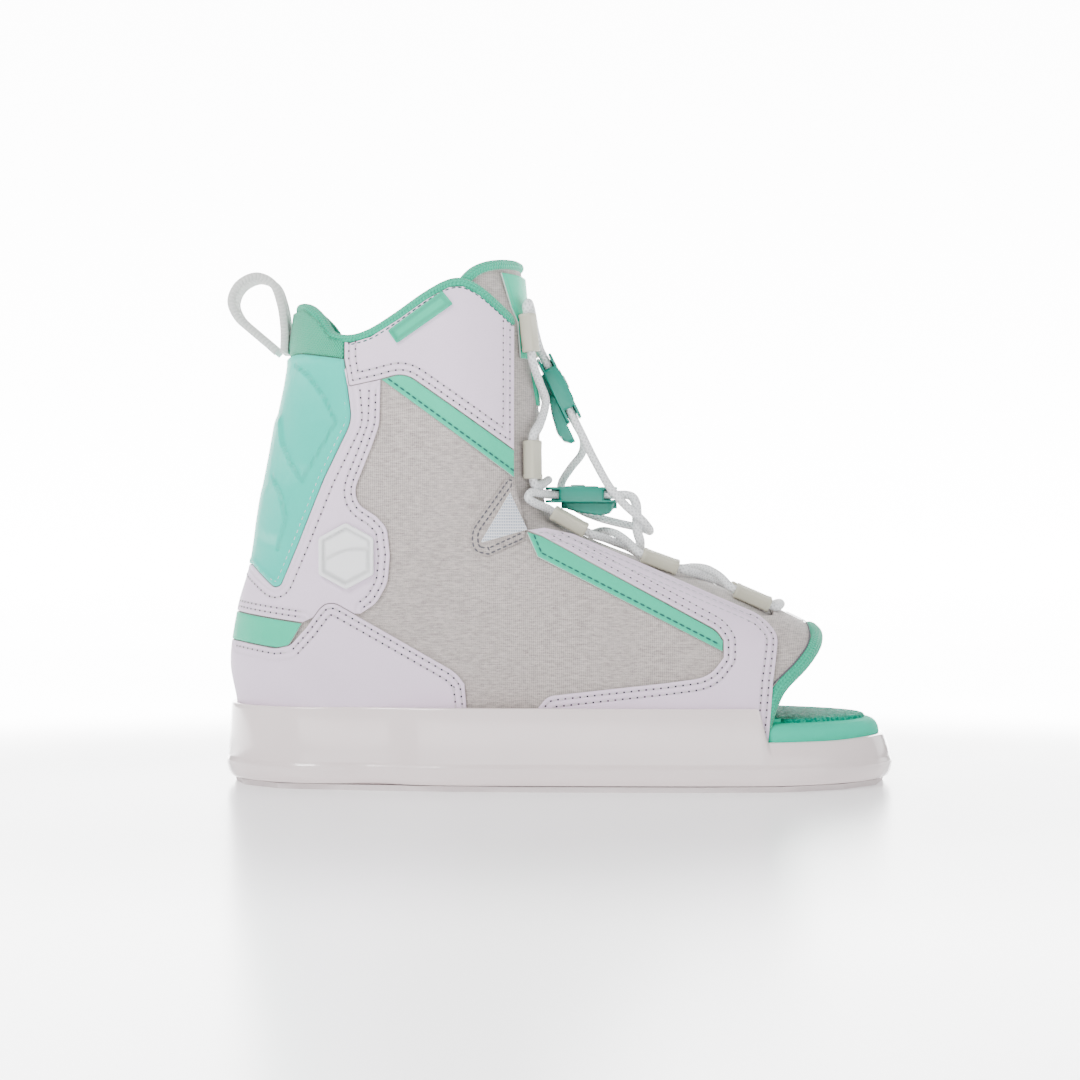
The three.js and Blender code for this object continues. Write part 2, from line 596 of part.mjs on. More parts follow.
const LOCKS = [
  { name: "upper", centre: [-0.2, 0, 176.6], along: [0.44, 0, -0.898], catchAt: 0.7 },
  { name: "lower", centre: [9.8, 0, 128.7], along: [1, 0, 0], catchAt: -9 },
];
for (const { name, centre, along, catchAt } of LOCKS) {
  const lock = new THREE.Group();
  lock.position.set(...centre);
  lock.rotation.y = Math.atan2(-along[2], along[0]);
  add(`cord_lock_${name}`, lockBody(), "lock", lock);
  add(`lock_catch_${name}`, lockCatch(), "lock", lock).position.x = catchAt;
  boot.add(lock);
}

// ---- laces ----
// Each lace is one cord whose two ends meet at the bottom of its pull tail.
const UPPER_LACE = [
  [40.6, 3, 112.4], [40.8, -2.6, 112.4], [39.8, -8.6, 114], [36.8, -11.8, 117.4], [29.6, -11.8, 123.7],
  [22.8, -11.2, 131.5], [17, -8, 141.6], [12.6, -4.9, 150.4], [10.9, -4.5, 154], [6.95, -4.5, 162],
  [-0.2, -4.5, 176.6], [-7.35, -4.5, 191.2], [-8.8, -4.8, 194.3], [-10.9, -8.5, 201.5], [-12.5, -13, 210],
  [-13.8, -16.6, 214], [-14.8, -20.1, 212.2], [-14.42, -20.24, 208.73], [-13.58, -20.24, 200.27],
  [-12.74, -20.24, 191.81], [-12.2, -19.8, 188], [-9, -14, 178.5], [-6.3, -9.8, 171], [-8.6, -15, 161.5],
  [-11.6, -21.8, 155.6], [-12.22, -23.04, 152.53], [-12.04, -23.04, 144.03], [-11.86, -23.04, 135.54],
  [-11.2, -21.6, 132.9], [-8.8, -15.5, 132.9], [-6, -8, 134.7], [-5, 0, 135.5],
  [-6, 8, 134.7], [-8.8, 15.5, 132.9], [-11.2, 21.6, 132.9], [-11.86, 23.04, 135.54],
  [-12.04, 23.04, 144.03], [-12.22, 23.04, 152.53], [-11.6, 21.8, 155.6], [-8.6, 15, 161.5],
  [-6.3, 9.8, 171], [-9, 14, 178.5], [-12.2, 19.8, 188], [-12.74, 20.24, 191.81], [-13.58, 20.24, 200.27],
  [-14.42, 20.24, 208.73], [-14.8, 20.1, 212.2], [-13.8, 16.6, 214], [-12.5, 13, 210], [-10.9, 8.5, 201.5],
  [-8.8, 4.8, 194.3], [-7.35, 4.5, 191.2], [-0.2, 4.5, 176.6], [6.95, 4.5, 162], [10.9, 4.5, 154],
  [10.4, 7.4, 148], [5, 11, 140.8], [1, 12.8, 134], [1.2, 13.2, 129], [7, 13.4, 123.4], [17, 13.5, 118.8],
  [28, 13.4, 115.8], [36.6, 11.6, 113.9], [39.7, 7.2, 112.8], [40.5, 3.4, 112.4],
];
const LOWER_LACE = [
  [36.5, -0.3, 103.6], [36.5, -4, 104.2], [36.4, -6.8, 107.8], [35, -7.2, 113], [35, -7.3, 120],
  [34.6, -7.2, 124.6], [33, -5.4, 127.7], [30.3, -4.5, 128.7], [25, -4.5, 128.7], [9.8, -4.5, 128.7],
  [-1, -4.5, 128.7],
  [-4.2, -6.6, 128.8], [-6.4, -12, 129], [-9.2, -19, 129.3], [-12.8, -25.6, 129.4], [-14, -27.6, 127.2],
  [-11.4, -24.4, 125], [-5.6, -16.4, 122.6], [-3.02, -15.15, 121.07], [4.29, -15.15, 116.72],
  [11.59, -15.15, 112.37], [14.6, -14, 110.8], [19.5, -8, 109.4], [25.3, 0, 107.2], [31, 8, 105],
  [35, 14.6, 102.8], [36.7, 15.96, 101.98], [44.67, 15.96, 99.04], [52.65, 15.96, 96.1], [55.6, 14.8, 95.3],
  [61, 8, 95.9], [66.5, 0, 95.3], [72, -8, 92], [76.2, -14.8, 87.4], [78, -15.95, 86.43],
  [85.76, -15.95, 82.96], [93.51, -15.95, 79.48], [96.6, -14.6, 78.6], [99, -8.6, 79.4], [99.7, 0, 79.9],
  [99, 8.6, 79.4], [96.6, 14.6, 78.6], [93.51, 15.95, 79.48], [85.76, 15.95, 82.96], [78, 15.95, 86.43],
  [76, 14.8, 87.4], [72, 8, 89.6], [66.5, 0, 91.4], [61, -8, 93.4], [55.6, -14.8, 94.9],
  [52.65, -15.96, 96.1], [44.67, -15.96, 99.04], [36.7, -15.96, 101.98], [35, -14.8, 103], [31, -8, 107.2],
  [25.3, 0, 111.3], [19.5, 8, 112.4], [14.6, 14.2, 111.2], [11.59, 15.15, 112.37], [4.29, 15.15, 116.72],
  [-3.02, 15.15, 121.07], [-5.6, 16.4, 122.6], [-11.4, 24.4, 125], [-14, 27.6, 127.2],
  [-12.8, 25.6, 129.4], [-9.2, 19, 129.3], [-6.4, 12, 129], [-4.2, 6.6, 128.8], [-1, 4.5, 128.7],
  [9.8, 4.5, 128.7], [25, 4.5, 128.7], [30.3, 4.5, 128.7], [33, 5.4, 127.7], [34.6, 7.2, 124.6],
  [35, 7.3, 120], [35, 7.2, 113], [36.4, 6.8, 107.8], [36.5, 4, 104.2], [36.5, 0.3, 103.6],
];

// A spline that is sampled by its own points, so that steps are short where it bends.
class Route extends THREE.CatmullRomCurve3 {
  getPointAt(t) {
    return this.getPoint(t);
  }

  getTangentAt(t) {
    return this.getTangent(t);
  }

  getSpacedPoints(count) {
    return this.getPoints(count);
  }
}

function laceTube(points) {
  const route = new Route(points.map((p) => new THREE.Vector3(...p)), false, "centripetal");
  const section = new THREE.Shape();
  section.absarc(0, 0, LACE / 2, 0, 2 * Math.PI, false);
  const options = { steps: points.length - 1, extrudePath: route, bevelEnabled: false, curveSegments: 4 };
  return toManifold(new THREE.ExtrudeGeometry(section, options));
}

add("lace_upper", laceTube(UPPER_LACE), "lace");
add("lace_lower", laceTube(LOWER_LACE), "lace");

// ---- heel pull loop: flat webbing bent into a teardrop, sewn at its root ----
const LOOP_LINE = [
  [-126.7, 192.6], [-130.2, 195.8], [-138, 202.4], [-144.5, 208.5], [-147.2, 215.5], [-143.8, 223],
  [-136, 226.6], [-128.8, 223.5], [-125.2, 215], [-123.4, 203], [-123.5, 192.2],
];
function pullLoop() {
  const curve = new THREE.CatmullRomCurve3(LOOP_LINE.map(([x, z]) => new THREE.Vector3(x, z, 0)), false, "centripetal");
  const half = LOOP_THICKNESS / 2;
  const steps = 30;
  const outside = [];
  const inside = [];
  for (let i = 0; i <= steps; i += 1) {
    const point = curve.getPoint(i / steps);
    const along = curve.getTangent(i / steps);
    outside.push(new THREE.Vector2(point.x - along.y * half, point.y + along.x * half));
    inside.unshift(new THREE.Vector2(point.x + along.y * half, point.y - along.x * half));
  }
  return prism(outside.concat(inside), -LOOP_WIDTH / 2, LOOP_WIDTH / 2);
}
add("pull_loop", pullLoop(), "webbing");

export default boot;
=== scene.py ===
# %% [markdown]
# # Open-toe wakeboard boot
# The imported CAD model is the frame. Each visible piece is built over the same closed-form surface that the
# CAD solids were cut from, so a panel, its stitches and the piece under it fit without any adjustment.
# Lengths inside the script are millimetres; meshes are written in metres.

# %%
import math

import bpy
import numpy as np
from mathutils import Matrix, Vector
from mathutils.geometry import delaunay_2d_cdt


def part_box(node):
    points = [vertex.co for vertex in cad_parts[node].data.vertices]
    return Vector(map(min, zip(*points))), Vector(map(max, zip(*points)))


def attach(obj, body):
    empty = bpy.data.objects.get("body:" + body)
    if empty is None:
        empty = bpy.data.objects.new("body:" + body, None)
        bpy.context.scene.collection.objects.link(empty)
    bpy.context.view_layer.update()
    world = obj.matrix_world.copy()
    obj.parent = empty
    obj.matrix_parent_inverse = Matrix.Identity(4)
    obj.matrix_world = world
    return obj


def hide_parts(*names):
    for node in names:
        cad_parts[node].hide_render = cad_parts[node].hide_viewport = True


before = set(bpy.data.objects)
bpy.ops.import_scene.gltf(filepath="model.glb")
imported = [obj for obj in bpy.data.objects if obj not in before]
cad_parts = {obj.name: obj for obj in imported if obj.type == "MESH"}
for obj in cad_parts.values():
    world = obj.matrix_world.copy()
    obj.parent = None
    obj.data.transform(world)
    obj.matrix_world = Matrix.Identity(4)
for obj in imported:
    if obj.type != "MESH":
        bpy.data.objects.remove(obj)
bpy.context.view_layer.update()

# %% [markdown]
# ## Camera, light and floor
# A long lens looks straight along +Y at the side of the boot. The floor is pale with a soft sheen and glows
# as painted light: faintly next to the boot, leaving a painted pool of shade round it, and more further off
# and behind it.

# %%
scene = bpy.context.scene
camera_data = bpy.data.cameras.new("camera")
camera_data.lens = 73.7
camera_data.sensor_width = 36
camera_data.shift_y = -17 / 1080
camera_data.clip_start = 0.01
camera = bpy.data.objects.new("camera", camera_data)
camera.location = (-0.0088, -1.0, 0.116)
camera.rotation_euler = (math.radians(90), 0, 0)
scene.collection.objects.link(camera)
scene.camera = camera


def area_light(name, place, aim, size, power, colour=(1, 1, 1)):
    """A rectangular lamp at a place, turned to face a point."""
    data = bpy.data.lights.new(name, "AREA")
    data.shape = "RECTANGLE"
    data.size, data.size_y = size
    data.energy = power
    data.color = colour
    lamp = bpy.data.objects.new(name, data)
    lamp.location = place
    lamp.rotation_euler = (Vector(aim) - Vector(place)).to_track_quat("-Z", "Y").to_euler()
    scene.collection.objects.link(lamp)
    return lamp


area_light("key", (-0.55, -0.85, 0.95), (0, 0, 0.1), (0.42, 0.42), 15)
area_light("fill", (0.8, -1.0, 0.35), (0, 0, 0.1), (0.9, 0.7), 3.1)
area_light("top", (0.05, 0.1, 1.2), (0, 0, 0.1), (0.9, 0.7), 6.5)
area_light("rim_left", (-0.9, 0.5, 0.6), (0, 0, 0.12), (0.4, 0.8), 1.8)
area_light("rim_right", (0.9, 0.6, 0.5), (0, 0, 0.12), (0.4, 0.8), 2.5)
area_light("strip", (-0.2, -1.3, 0.30), (0, 0, 0.03), (1.2, 0.12), 2.2)

world = bpy.data.worlds.new("studio")
world.use_nodes = True
world.node_tree.nodes["Background"].inputs["Color"].default_value = (0.95, 0.97, 1.0, 1)
world.node_tree.nodes["Background"].inputs["Strength"].default_value = 0.3
scene.world = world

# %% [markdown]
# ## The boot's surface
# At height z the boot runs from the heel line xb(z) to the front line xf(z). A point is named by (s, z):
# x = xb + (xf - xb)(1 - cos(pi s))/2 for |s| from 0 at the heel to 1 at the front, negative s on the left.
# y = (W(x, z) - inset) sqrt(1 - b^2) sqrt(1 - f^2), with b and f running from 1 at an end to 0 one end
# radius away. The inset moves the surface inwards along its own normal, so every layer shares one shape.

# %%
HEEL_LINE = np.array([
    (6, -141), (36, -144), (54, -147), (77, -144), (97, -138.5),
    (122, -134.5), (158, -127), (180, -122.5), (214, -118), (246, -116)], float)
FRONT_LINE = np.array([
    (6, 150), (36, 148), (48, 143), (60, 132), (72, 110), (86, 79), (101, 39), (112, 12),
    (118, 0), (124, -5), (132, -6.5), (161, -7.7), (189, -11), (217, -14), (246, -16.5)], float)
FOOT_WIDTH = np.array([(-150, 34), (-110, 36), (-50, 38), (10, 42), (70, 46), (150, 44)], float)
SHAFT_WIDTH = np.array([(60, 38), (130, 40), (200, 44), (246, 45)], float)


def smooth_table(table, at):
    """Cubic through the table's points, with each slope limited so that it never overshoots."""
    t, v = table[:, 0], table[:, 1]
    step = np.diff(v) / np.diff(t)
    inner = np.where(step[:-1] * step[1:] > 0, 2 * step[:-1] * step[1:] / (step[:-1] + step[1:] + 1e-12), 0)
    slope = np.concatenate([[step[0]], inner, [step[-1]]])
    at = np.asarray(at, float)
    i = np.clip(np.searchsorted(t, at) - 1, 0, len(t) - 2)
    h = t[i + 1] - t[i]
    k = np.clip((at - t[i]) / h, 0, 1)
    ends = v[i] * (1 + 2 * k) * (1 - k) ** 2 + v[i + 1] * (3 - 2 * k) * k ** 2
    return ends + h * k * (1 - k) * (slope[i] * (1 - k) - slope[i + 1] * k)


def edge_x(table, z, inset, outward):
    """x of the heel or front line after it has moved inwards by inset along its own normal."""
    span = 5
    slope = (smooth_table(table, z + span) - smooth_table(table, z - span)) / (2 * span)
    length = np.hypot(1, slope)
    return smooth_table(table, z - inset * slope * outward / length) - inset * outward / length


def smooth_step(v):
    v = np.clip(v, 0, 1)
    return v * v * (3 - 2 * v)


def half_width(x, z):
    k = smooth_step((z - 60) / 70)
    return smooth_table(FOOT_WIDTH, x) * (1 - k) + smooth_table(SHAFT_WIDTH, z) * k


def surface(s, z, inset=0.0):
    """Points (n, 3) of the surface at (s, z); s may pass 1 and come round the other side."""
    s, z = np.broadcast_arrays(np.asarray(s, float), np.asarray(z, float))
    back = edge_x(HEEL_LINE, z, inset, -1)
    front = edge_x(FRONT_LINE, z, inset, 1)
    share = (1 - np.cos(np.pi * s)) / 2
    x = back + (front - back) * share
    front_round = 70 + (42 - 70) * smooth_step((z - 100) / 30)
    b = 1 - np.clip((x - back) / 44, 0, 1)
    f = 1 - np.clip((front - x) / front_round, 0, 1)
    half = (half_width(x, z) - inset) * np.sqrt(np.maximum(0, 1 - b * b)) * np.sqrt(np.maximum(0, 1 - f * f))
    side = np.sign(np.sin(np.pi * s))
    return np.stack([x, half * side, z], -1)


def place(x, z, inset=0.0):
    """s for a side-view place; places beyond the heel or front line go to that line."""
    back = edge_x(HEEL_LINE, z, inset, -1)
    front = edge_x(FRONT_LINE, z, inset, 1)
    share = np.clip((x - back) / (front - back), 0, 1)
    return np.arccos(1 - 2 * share) / np.pi


def normals(s, z, inset=0.0):
    """Outward unit normals: the turn of the surface along s against its turn along z."""
    ds, dz = 2e-3, 0.4
    along = surface(s + ds, z, inset) - surface(s - ds, z, inset)
    up = surface(s, z + dz, inset) - surface(s, z - dz, inset)
    n = np.cross(up, along)
    return n / np.maximum(np.linalg.norm(n, axis=-1, keepdims=True), 1e-9)


print("ankle", surface(0.5, 120.0).round(1), "normal", normals(0.5, 120.0).round(2))

# %% [markdown]
# ## Shader maths
# A small class writes node trees as formulas. Every pattern below is worked out in millimetres of Object
# coordinates, or of the piece's own attributes: `seam`, the distance to a stitched edge, `rim`, 1 on a cut
# edge, and `lay`, the distance along and around a swept piece.

# %%
def linear(r, g, b):
    """An sRGB colour of 0-255 as linear light."""
    c = np.array([r, g, b], float) / 255
    return tuple(np.where(c <= 0.04045, c / 12.92, ((c + 0.055) / 1.055) ** 2.4)) + (1.0,)


class Shade:
    """One value in a material's node tree. Operators add Math nodes and make() adds any other node."""

    def __init__(self, tree, socket):
        self.tree = tree
        self.socket = socket

    def make(self, kind, inputs, output=0, **settings):
        node = self.tree.nodes.new(kind)
        for key, value in settings.items():
            setattr(node, key, value)
        for key, value in inputs.items():
            if isinstance(value, Shade):
                self.tree.links.new(value.socket, node.inputs[key])
            else:
                node.inputs[key].default_value = value
        return Shade(self.tree, node.outputs[output])

    def math(self, operation, *others):
        inputs = dict(enumerate((self,) + others))
        return self.make("ShaderNodeMath", inputs, operation=operation)

    def __add__(self, other):
        return self.math("ADD", other)

    def __sub__(self, other):
        return self.math("SUBTRACT", other)

    def __mul__(self, other):
        return self.math("MULTIPLY", other)

    def __truediv__(self, other):
        return self.math("DIVIDE", other)

    def __rsub__(self, other):
        return self.make("ShaderNodeMath", {0: other, 1: self}, operation="SUBTRACT")

    def __rtruediv__(self, other):
        return self.make("ShaderNodeMath", {0: other, 1: self}, operation="DIVIDE")

    __radd__ = __add__
    __rmul__ = __mul__

    def __neg__(self):
        return self * -1.0

    def __abs__(self):
        return self.math("ABSOLUTE")

    def sin(self):
        return self.math("SINE")

    def ramp(self, low, high):
        """0 below low, 1 above high, smooth between; falls instead where low is above high."""
        inputs = {"Value": self, "From Min": low, "From Max": high}
        return self.make("ShaderNodeMapRange", inputs, interpolation_type="SMOOTHSTEP")

    def bell(self, centre, width):
        """1 at centre, falling off both ways over width."""
        return 1.0 - abs(self - centre).ramp(0.0, width)

    def stretch(self, x, y, z):
        """A vector with each part multiplied."""
        return self.make("ShaderNodeVectorMath", {0: self, 1: (x, y, z)}, operation="MULTIPLY")

    def parts(self):
        node = self.tree.nodes.new("ShaderNodeSeparateXYZ")
        self.tree.links.new(self.socket, node.inputs[0])
        return [Shade(self.tree, out) for out in node.outputs]

    def noise(self, scale, detail=2.0, rough=0.5):
        """Cloudy noise of a vector, about 0 to 1 around 0.5."""
        inputs = {"Vector": self, "Scale": scale, "Detail": detail, "Roughness": rough}
        return self.make("ShaderNodeTexNoise", inputs)

    def cells(self, scale, feature="F1"):
        """Distance to the nearest scattered point, or to the nearest border between cells."""
        return self.make("ShaderNodeTexVoronoi", {"Vector": self, "Scale": scale}, feature=feature)

    def mix(self, first, second):
        """A colour from first at 0 to second at 1."""
        return self.make("ShaderNodeMix", {0: self, 6: first, 7: second}, output=2, data_type="RGBA")

    def tint(self, factor):
        """A colour multiplied by a number."""
        return self.make("ShaderNodeVectorMath", {0: self, "Scale": factor}, operation="SCALE")


class Paint:
    """A material being made: its Principled shader, its coordinates in millimetres and its attributes."""

    def __init__(self, name):
        self.material = bpy.data.materials.new(name)
        self.material.use_nodes = True
        self.tree = self.material.node_tree
        self.shader = self.tree.nodes["Principled BSDF"]
        start = Shade(self.tree, self.tree.nodes.new("ShaderNodeTexCoord").outputs["Object"])
        self.place = start.make("ShaderNodeVectorMath", {0: start, "Scale": 1000.0}, operation="SCALE")
        self.x, self.y, self.z = self.place.parts()

    def attribute(self, name, output="Fac"):
        return self.place.make("ShaderNodeAttribute", {}, output=output, attribute_name=name)

    def finish(self, colour, rough, height, **constants):
        """Height is a bump in millimetres; constants go on the shader's own sockets."""
        bump = self.place.make("ShaderNodeBump", {"Height": height, "Distance": 0.001, "Strength": 1.0})
        for name, value in (("Base Color", colour), ("Roughness", rough), ("Normal", bump)):
            self.tree.links.new(value.socket, self.shader.inputs[name])
        for name, value in constants.items():
            self.shader.inputs[name.replace("_", " ")].default_value = value
        return self.material


# %% [markdown]
# ## Materials of the upper
# Synthetic leather: a fine pebble of cell borders with a slow cloud of shade. Along a stitched edge the skin
# is pulled down in a groove under each row, and the cut edge shows its warm raw backing. The grooves and the
# strip along the edge line are painted darker: painted shade.

# %%
def leather(name, colour, rough=0.5, grain=0.03, rows=(2.0, 4.9), raw=(196, 186, 184), groove_shade=0.07):
    p = Paint(name)
    seam = p.attribute("seam")
    rim = p.attribute("rim")
    pebble = p.place.cells(1.5, "DISTANCE_TO_EDGE").ramp(0.0, 0.22)
    fine = p.place.noise(3.2, 3.0)
    cloud = p.place.noise(0.035, 2.0)
    groove = seam.bell(rows[0], 1.3)
    for row in rows[1:]:
        groove = groove + seam.bell(row, 1.3)
    # Painted shade: the skin is darker within 1.3 mm of the edge line and in each stitch groove.
    edge_shade = seam.ramp(1.3, 0.0)
    level = 0.965 + cloud * 0.07 - groove * groove_shade - (1.0 - pebble) * 0.035 - edge_shade * 0.03
    skin = level.mix((0, 0, 0, 1), linear(*colour))
    skin = rim.ramp(0.35, 0.85).mix(skin, linear(*raw))
    height = pebble * grain + fine * (grain * 0.6) - groove * 0.22 + p.place.noise(0.12, 2.0) * 0.35
    rough = rough + cloud * 0.12 - pebble * 0.05
    return p.finish(skin, rough, height, Sheen_Weight=0.06, Specular_IOR_Level=0.42)


def heather(name="heather", dark=(126, 117, 115), light=(214, 204, 199)):
    """Jersey of two yarns: level flecks of tone over upright knit ribs with a soft fuzz."""
    p = Paint(name)
    streak = p.place.stretch(0.3, 0.3, 1.5).noise(1.0, 4.0, 0.62)
    yarn = p.place.stretch(2.6, 2.6, 1.6).noise(1.0, 2.0, 0.6)
    rib = (p.x * 7.2 + yarn * 2.0).sin() * 0.5 + 0.5
    course = (p.z * 6.4 + yarn * 3.0).sin() * 0.5 + 0.5
    tone = streak.ramp(0.22, 0.78) * 0.34 + yarn * 0.42 + rib * 0.18 + course * 0.06
    colour = tone.ramp(0.05, 0.95).mix(linear(*dark), linear(*light))
    seam = p.attribute("seam")
    # Painted shade: the jersey is darker within 1.8 mm of a stitched edge.
    colour = (1.0 - seam.ramp(1.8, 0.0) * 0.16).mix((0.06, 0.06, 0.06, 1), colour)
    height = (rib * 0.05 + course * 0.04 + yarn * 0.05 + p.place.noise(0.08, 2.0) * 0.5
              - seam.bell(2.6, 1.4) * 0.25)
    return p.finish(colour, 0.86 + yarn * 0.1, height, Sheen_Weight=0.35, Sheen_Roughness=0.5,
                    Specular_IOR_Level=0.25)


def knit(name, colour, pitch=1.5, deep=0.62):
    """Spacer knit of a rolled edge: rows of slanted loops along and around the sweep."""
    p = Paint(name)
    along, around, _ = p.attribute("lay", "Vector").parts()
    wave = (around * (math.pi / pitch)).sin()
    loops = (along * (2 * math.pi / pitch) + wave * 1.7).sin() * 0.5 + 0.5
    wale = abs((around * (math.pi / pitch)).sin())
    fuzz = p.place.noise(1.6, 3.0)
    cloud = p.place.noise(0.06, 2.0)
    level = 0.52 + loops * 0.28 + wale * 0.22 + fuzz * 0.08 + cloud * 0.08
    colour = level.mix(tuple(v * deep * 0.3 for v in linear(*colour)[:3]) + (1,), linear(*colour))
    height = loops * 0.26 + wale * 0.24 + fuzz * 0.06
    return p.finish(colour, 0.82 + fuzz * 0.12, height, Sheen_Weight=0.3, Sheen_Roughness=0.45)


def honeycomb(name, colour, size=2.2):
    """Honeycomb knit: rounded cells with open, darker centres, set in offset rows."""
    p = Paint(name)
    around = (p.x - p.y * 1.4) * (math.pi / size)
    one = (around + p.z * (math.pi / size)).sin()
    two = (around - p.z * (math.pi / size)).sin()
    pit = abs(one * two).ramp(0.2, 0.75)
    fuzz = p.place.noise(1.4, 3.0)
    level = 1.0 - pit * 0.6 + fuzz * 0.1 - 0.02
    shade = level.mix(tuple(v * 0.22 for v in linear(*colour)[:3]) + (1,), linear(*colour))
    return p.finish(shade, 0.8 + fuzz * 0.1, fuzz * 0.05 - pit * 0.32, Sheen_Weight=0.3, Sheen_Roughness=0.45)


def open_mesh(name="open_mesh"):
    """White mesh: round holes in offset rows show the blue-grey layer beneath."""
    p = Paint(name)
    a = (p.x * 4.2 + p.z * 2.4).sin()
    b = (p.x * 4.2 - p.z * 2.4).sin()
    hole = (a * b).ramp(0.15, 0.6)
    fuzz = p.place.noise(2.0, 2.0)
    colour = hole.mix(linear(232, 234, 240), linear(142, 156, 182))
    colour = p.attribute("rim").ramp(0.3, 0.8).mix(colour, linear(214, 208, 200))
    return p.finish(colour, 0.75 + fuzz * 0.1, fuzz * 0.05 - hole * 0.3, Sheen_Weight=0.2)


def thread(name, colour, dark=0.5):
    """Twisted thread: slanted strands along each stitch."""
    p = Paint(name)
    twist = ((p.x + p.z + p.y) * 9.0).sin() * 0.5 + 0.5
    shade = (0.85 + twist * 0.15).mix(tuple(v * dark for v in linear(*colour)[:3]) + (1,), linear(*colour))
    return p.finish(shade, 0.6 + twist * 0.1, twist * 0.05)


LILAC = (236, 217, 238)
MINT = (14, 198, 156)
paints = {
    "lilac": leather("lilac_leather", LILAC),
    "mint": leather("mint_leather", MINT, rough=0.48, grain=0.02, rows=(2.0,), raw=(196, 214, 206)),
    "heather": heather(),
    "tongue_cloth": heather("tongue_cloth", dark=(132, 125, 122), light=(198, 190, 185)),
    "knit": knit("teal_knit", (6, 186, 146)),
    "honeycomb": honeycomb("teal_honeycomb", (8, 184, 142), 1.6),
    "lining": honeycomb("teal_lining", (10, 150, 122), 1.6),
    "mesh": open_mesh(),
    "lilac_thread": thread("lilac_thread", (214, 205, 212)),
    "teal_thread": thread("teal_thread", (22, 92, 88)),
    "grey_thread": thread("grey_thread", (92, 92, 98)),
    "pale_thread": thread("pale_thread", (198, 192, 202)),
    # Needle holes are flat dark discs on the skin: painted shade of the holes.
    "hole": thread("needle_hole_shade", (70, 62, 76)),
}
print("materials", len(paints))

# %% [markdown]
# ## Panels
# A side-view outline is carried to (s, z), filled with a Delaunay mesh, and cut by its neighbours' outlines.
# The open border is pulled in by r and a quarter-round wall of depth r goes down from it, so every panel is
# a closed sheet with a rounded edge. The other side of the boot is its mirror.

# %%
GAP = 0.3
FLAT = 300.0  # millimetres of (s, z) plane for one unit of s
made = {}


def outline(points, step=1.3):
    """Closed side-view outline with a third number as corner radius, resampled at about step."""
    p = [np.array(q[:2], float) for q in points]
    out = []
    for i, corner in enumerate(p):
        radius = points[i][2] if len(points[i]) > 2 else 0
        before, after = p[i - 1], p[(i + 1) % len(p)]
        if radius == 0:
            out.append(corner)
            continue
        a = corner + (before - corner) * min(0.5, radius / np.linalg.norm(before - corner))
        b = corner + (after - corner) * min(0.5, radius / np.linalg.norm(after - corner))
        for t in np.linspace(0, 1, 7):
            out.append(a * (1 - t) ** 2 + corner * 2 * t * (1 - t) + b * t * t)
    return resample(np.array(out + [out[0]]), step)[:-1]


def resample(line, step):
    """Points kept, with long segments divided to at most step."""
    out = []
    for a, b in zip(line[:-1], line[1:]):
        count = max(1, int(math.ceil(np.linalg.norm(b - a) / step)))
        out.append(a + (b - a) * (np.arange(count) / count)[:, None])
    return np.concatenate(out + [line[-1:]])


def grow(points, distance):
    """Closed outline moved outwards along its mitres."""
    area = np.sum(points[:, 0] * np.roll(points[:, 1], -1) - np.roll(points[:, 0], -1) * points[:, 1])
    a = points - np.roll(points, 1, 0)
    b = np.roll(points, -1, 0) - points
    a /= np.linalg.norm(a, axis=1, keepdims=True) + 1e-12
    b /= np.linalg.norm(b, axis=1, keepdims=True) + 1e-12
    bend = np.maximum(0.4, 1 + np.sum(a * b, 1))
    out = np.stack([a[:, 1] + b[:, 1], -(a[:, 0] + b[:, 0])], 1) * np.sign(area)
    return points + out * (distance / bend)[:, None]


def inside(points, polygon):
    """Whether each point is in a closed polygon, by counting crossings of a level ray."""
    x, y = points[:, 0][:, None], points[:, 1][:, None]
    ax, ay = polygon[:, 0][None], polygon[:, 1][None]
    bx, by = np.roll(ax, -1, 1), np.roll(ay, -1, 1)
    crosses = (ay > y) != (by > y)
    with np.errstate(divide="ignore", invalid="ignore"):
        at = ax + (y - ay) * (bx - ax) / (by - ay)
    return np.sum(crosses & (x < at), 1) % 2 == 1


def to_plane(points, inset):
    """Side-view points in the (s, z) plane."""
    return np.stack([place(points[:, 0], points[:, 1], inset) * FLAT, points[:, 1]], 1)


def distance_to(points, line):
    """Distance of each 3-D point from the nearest of a dense line's points."""
    best = np.full(len(points), 1e9)
    for start in range(0, len(line), 400):
        gap = points[:, None] - line[None, start:start + 400]
        best = np.minimum(best, np.sqrt((gap ** 2).sum(-1)).min(1))
    return best


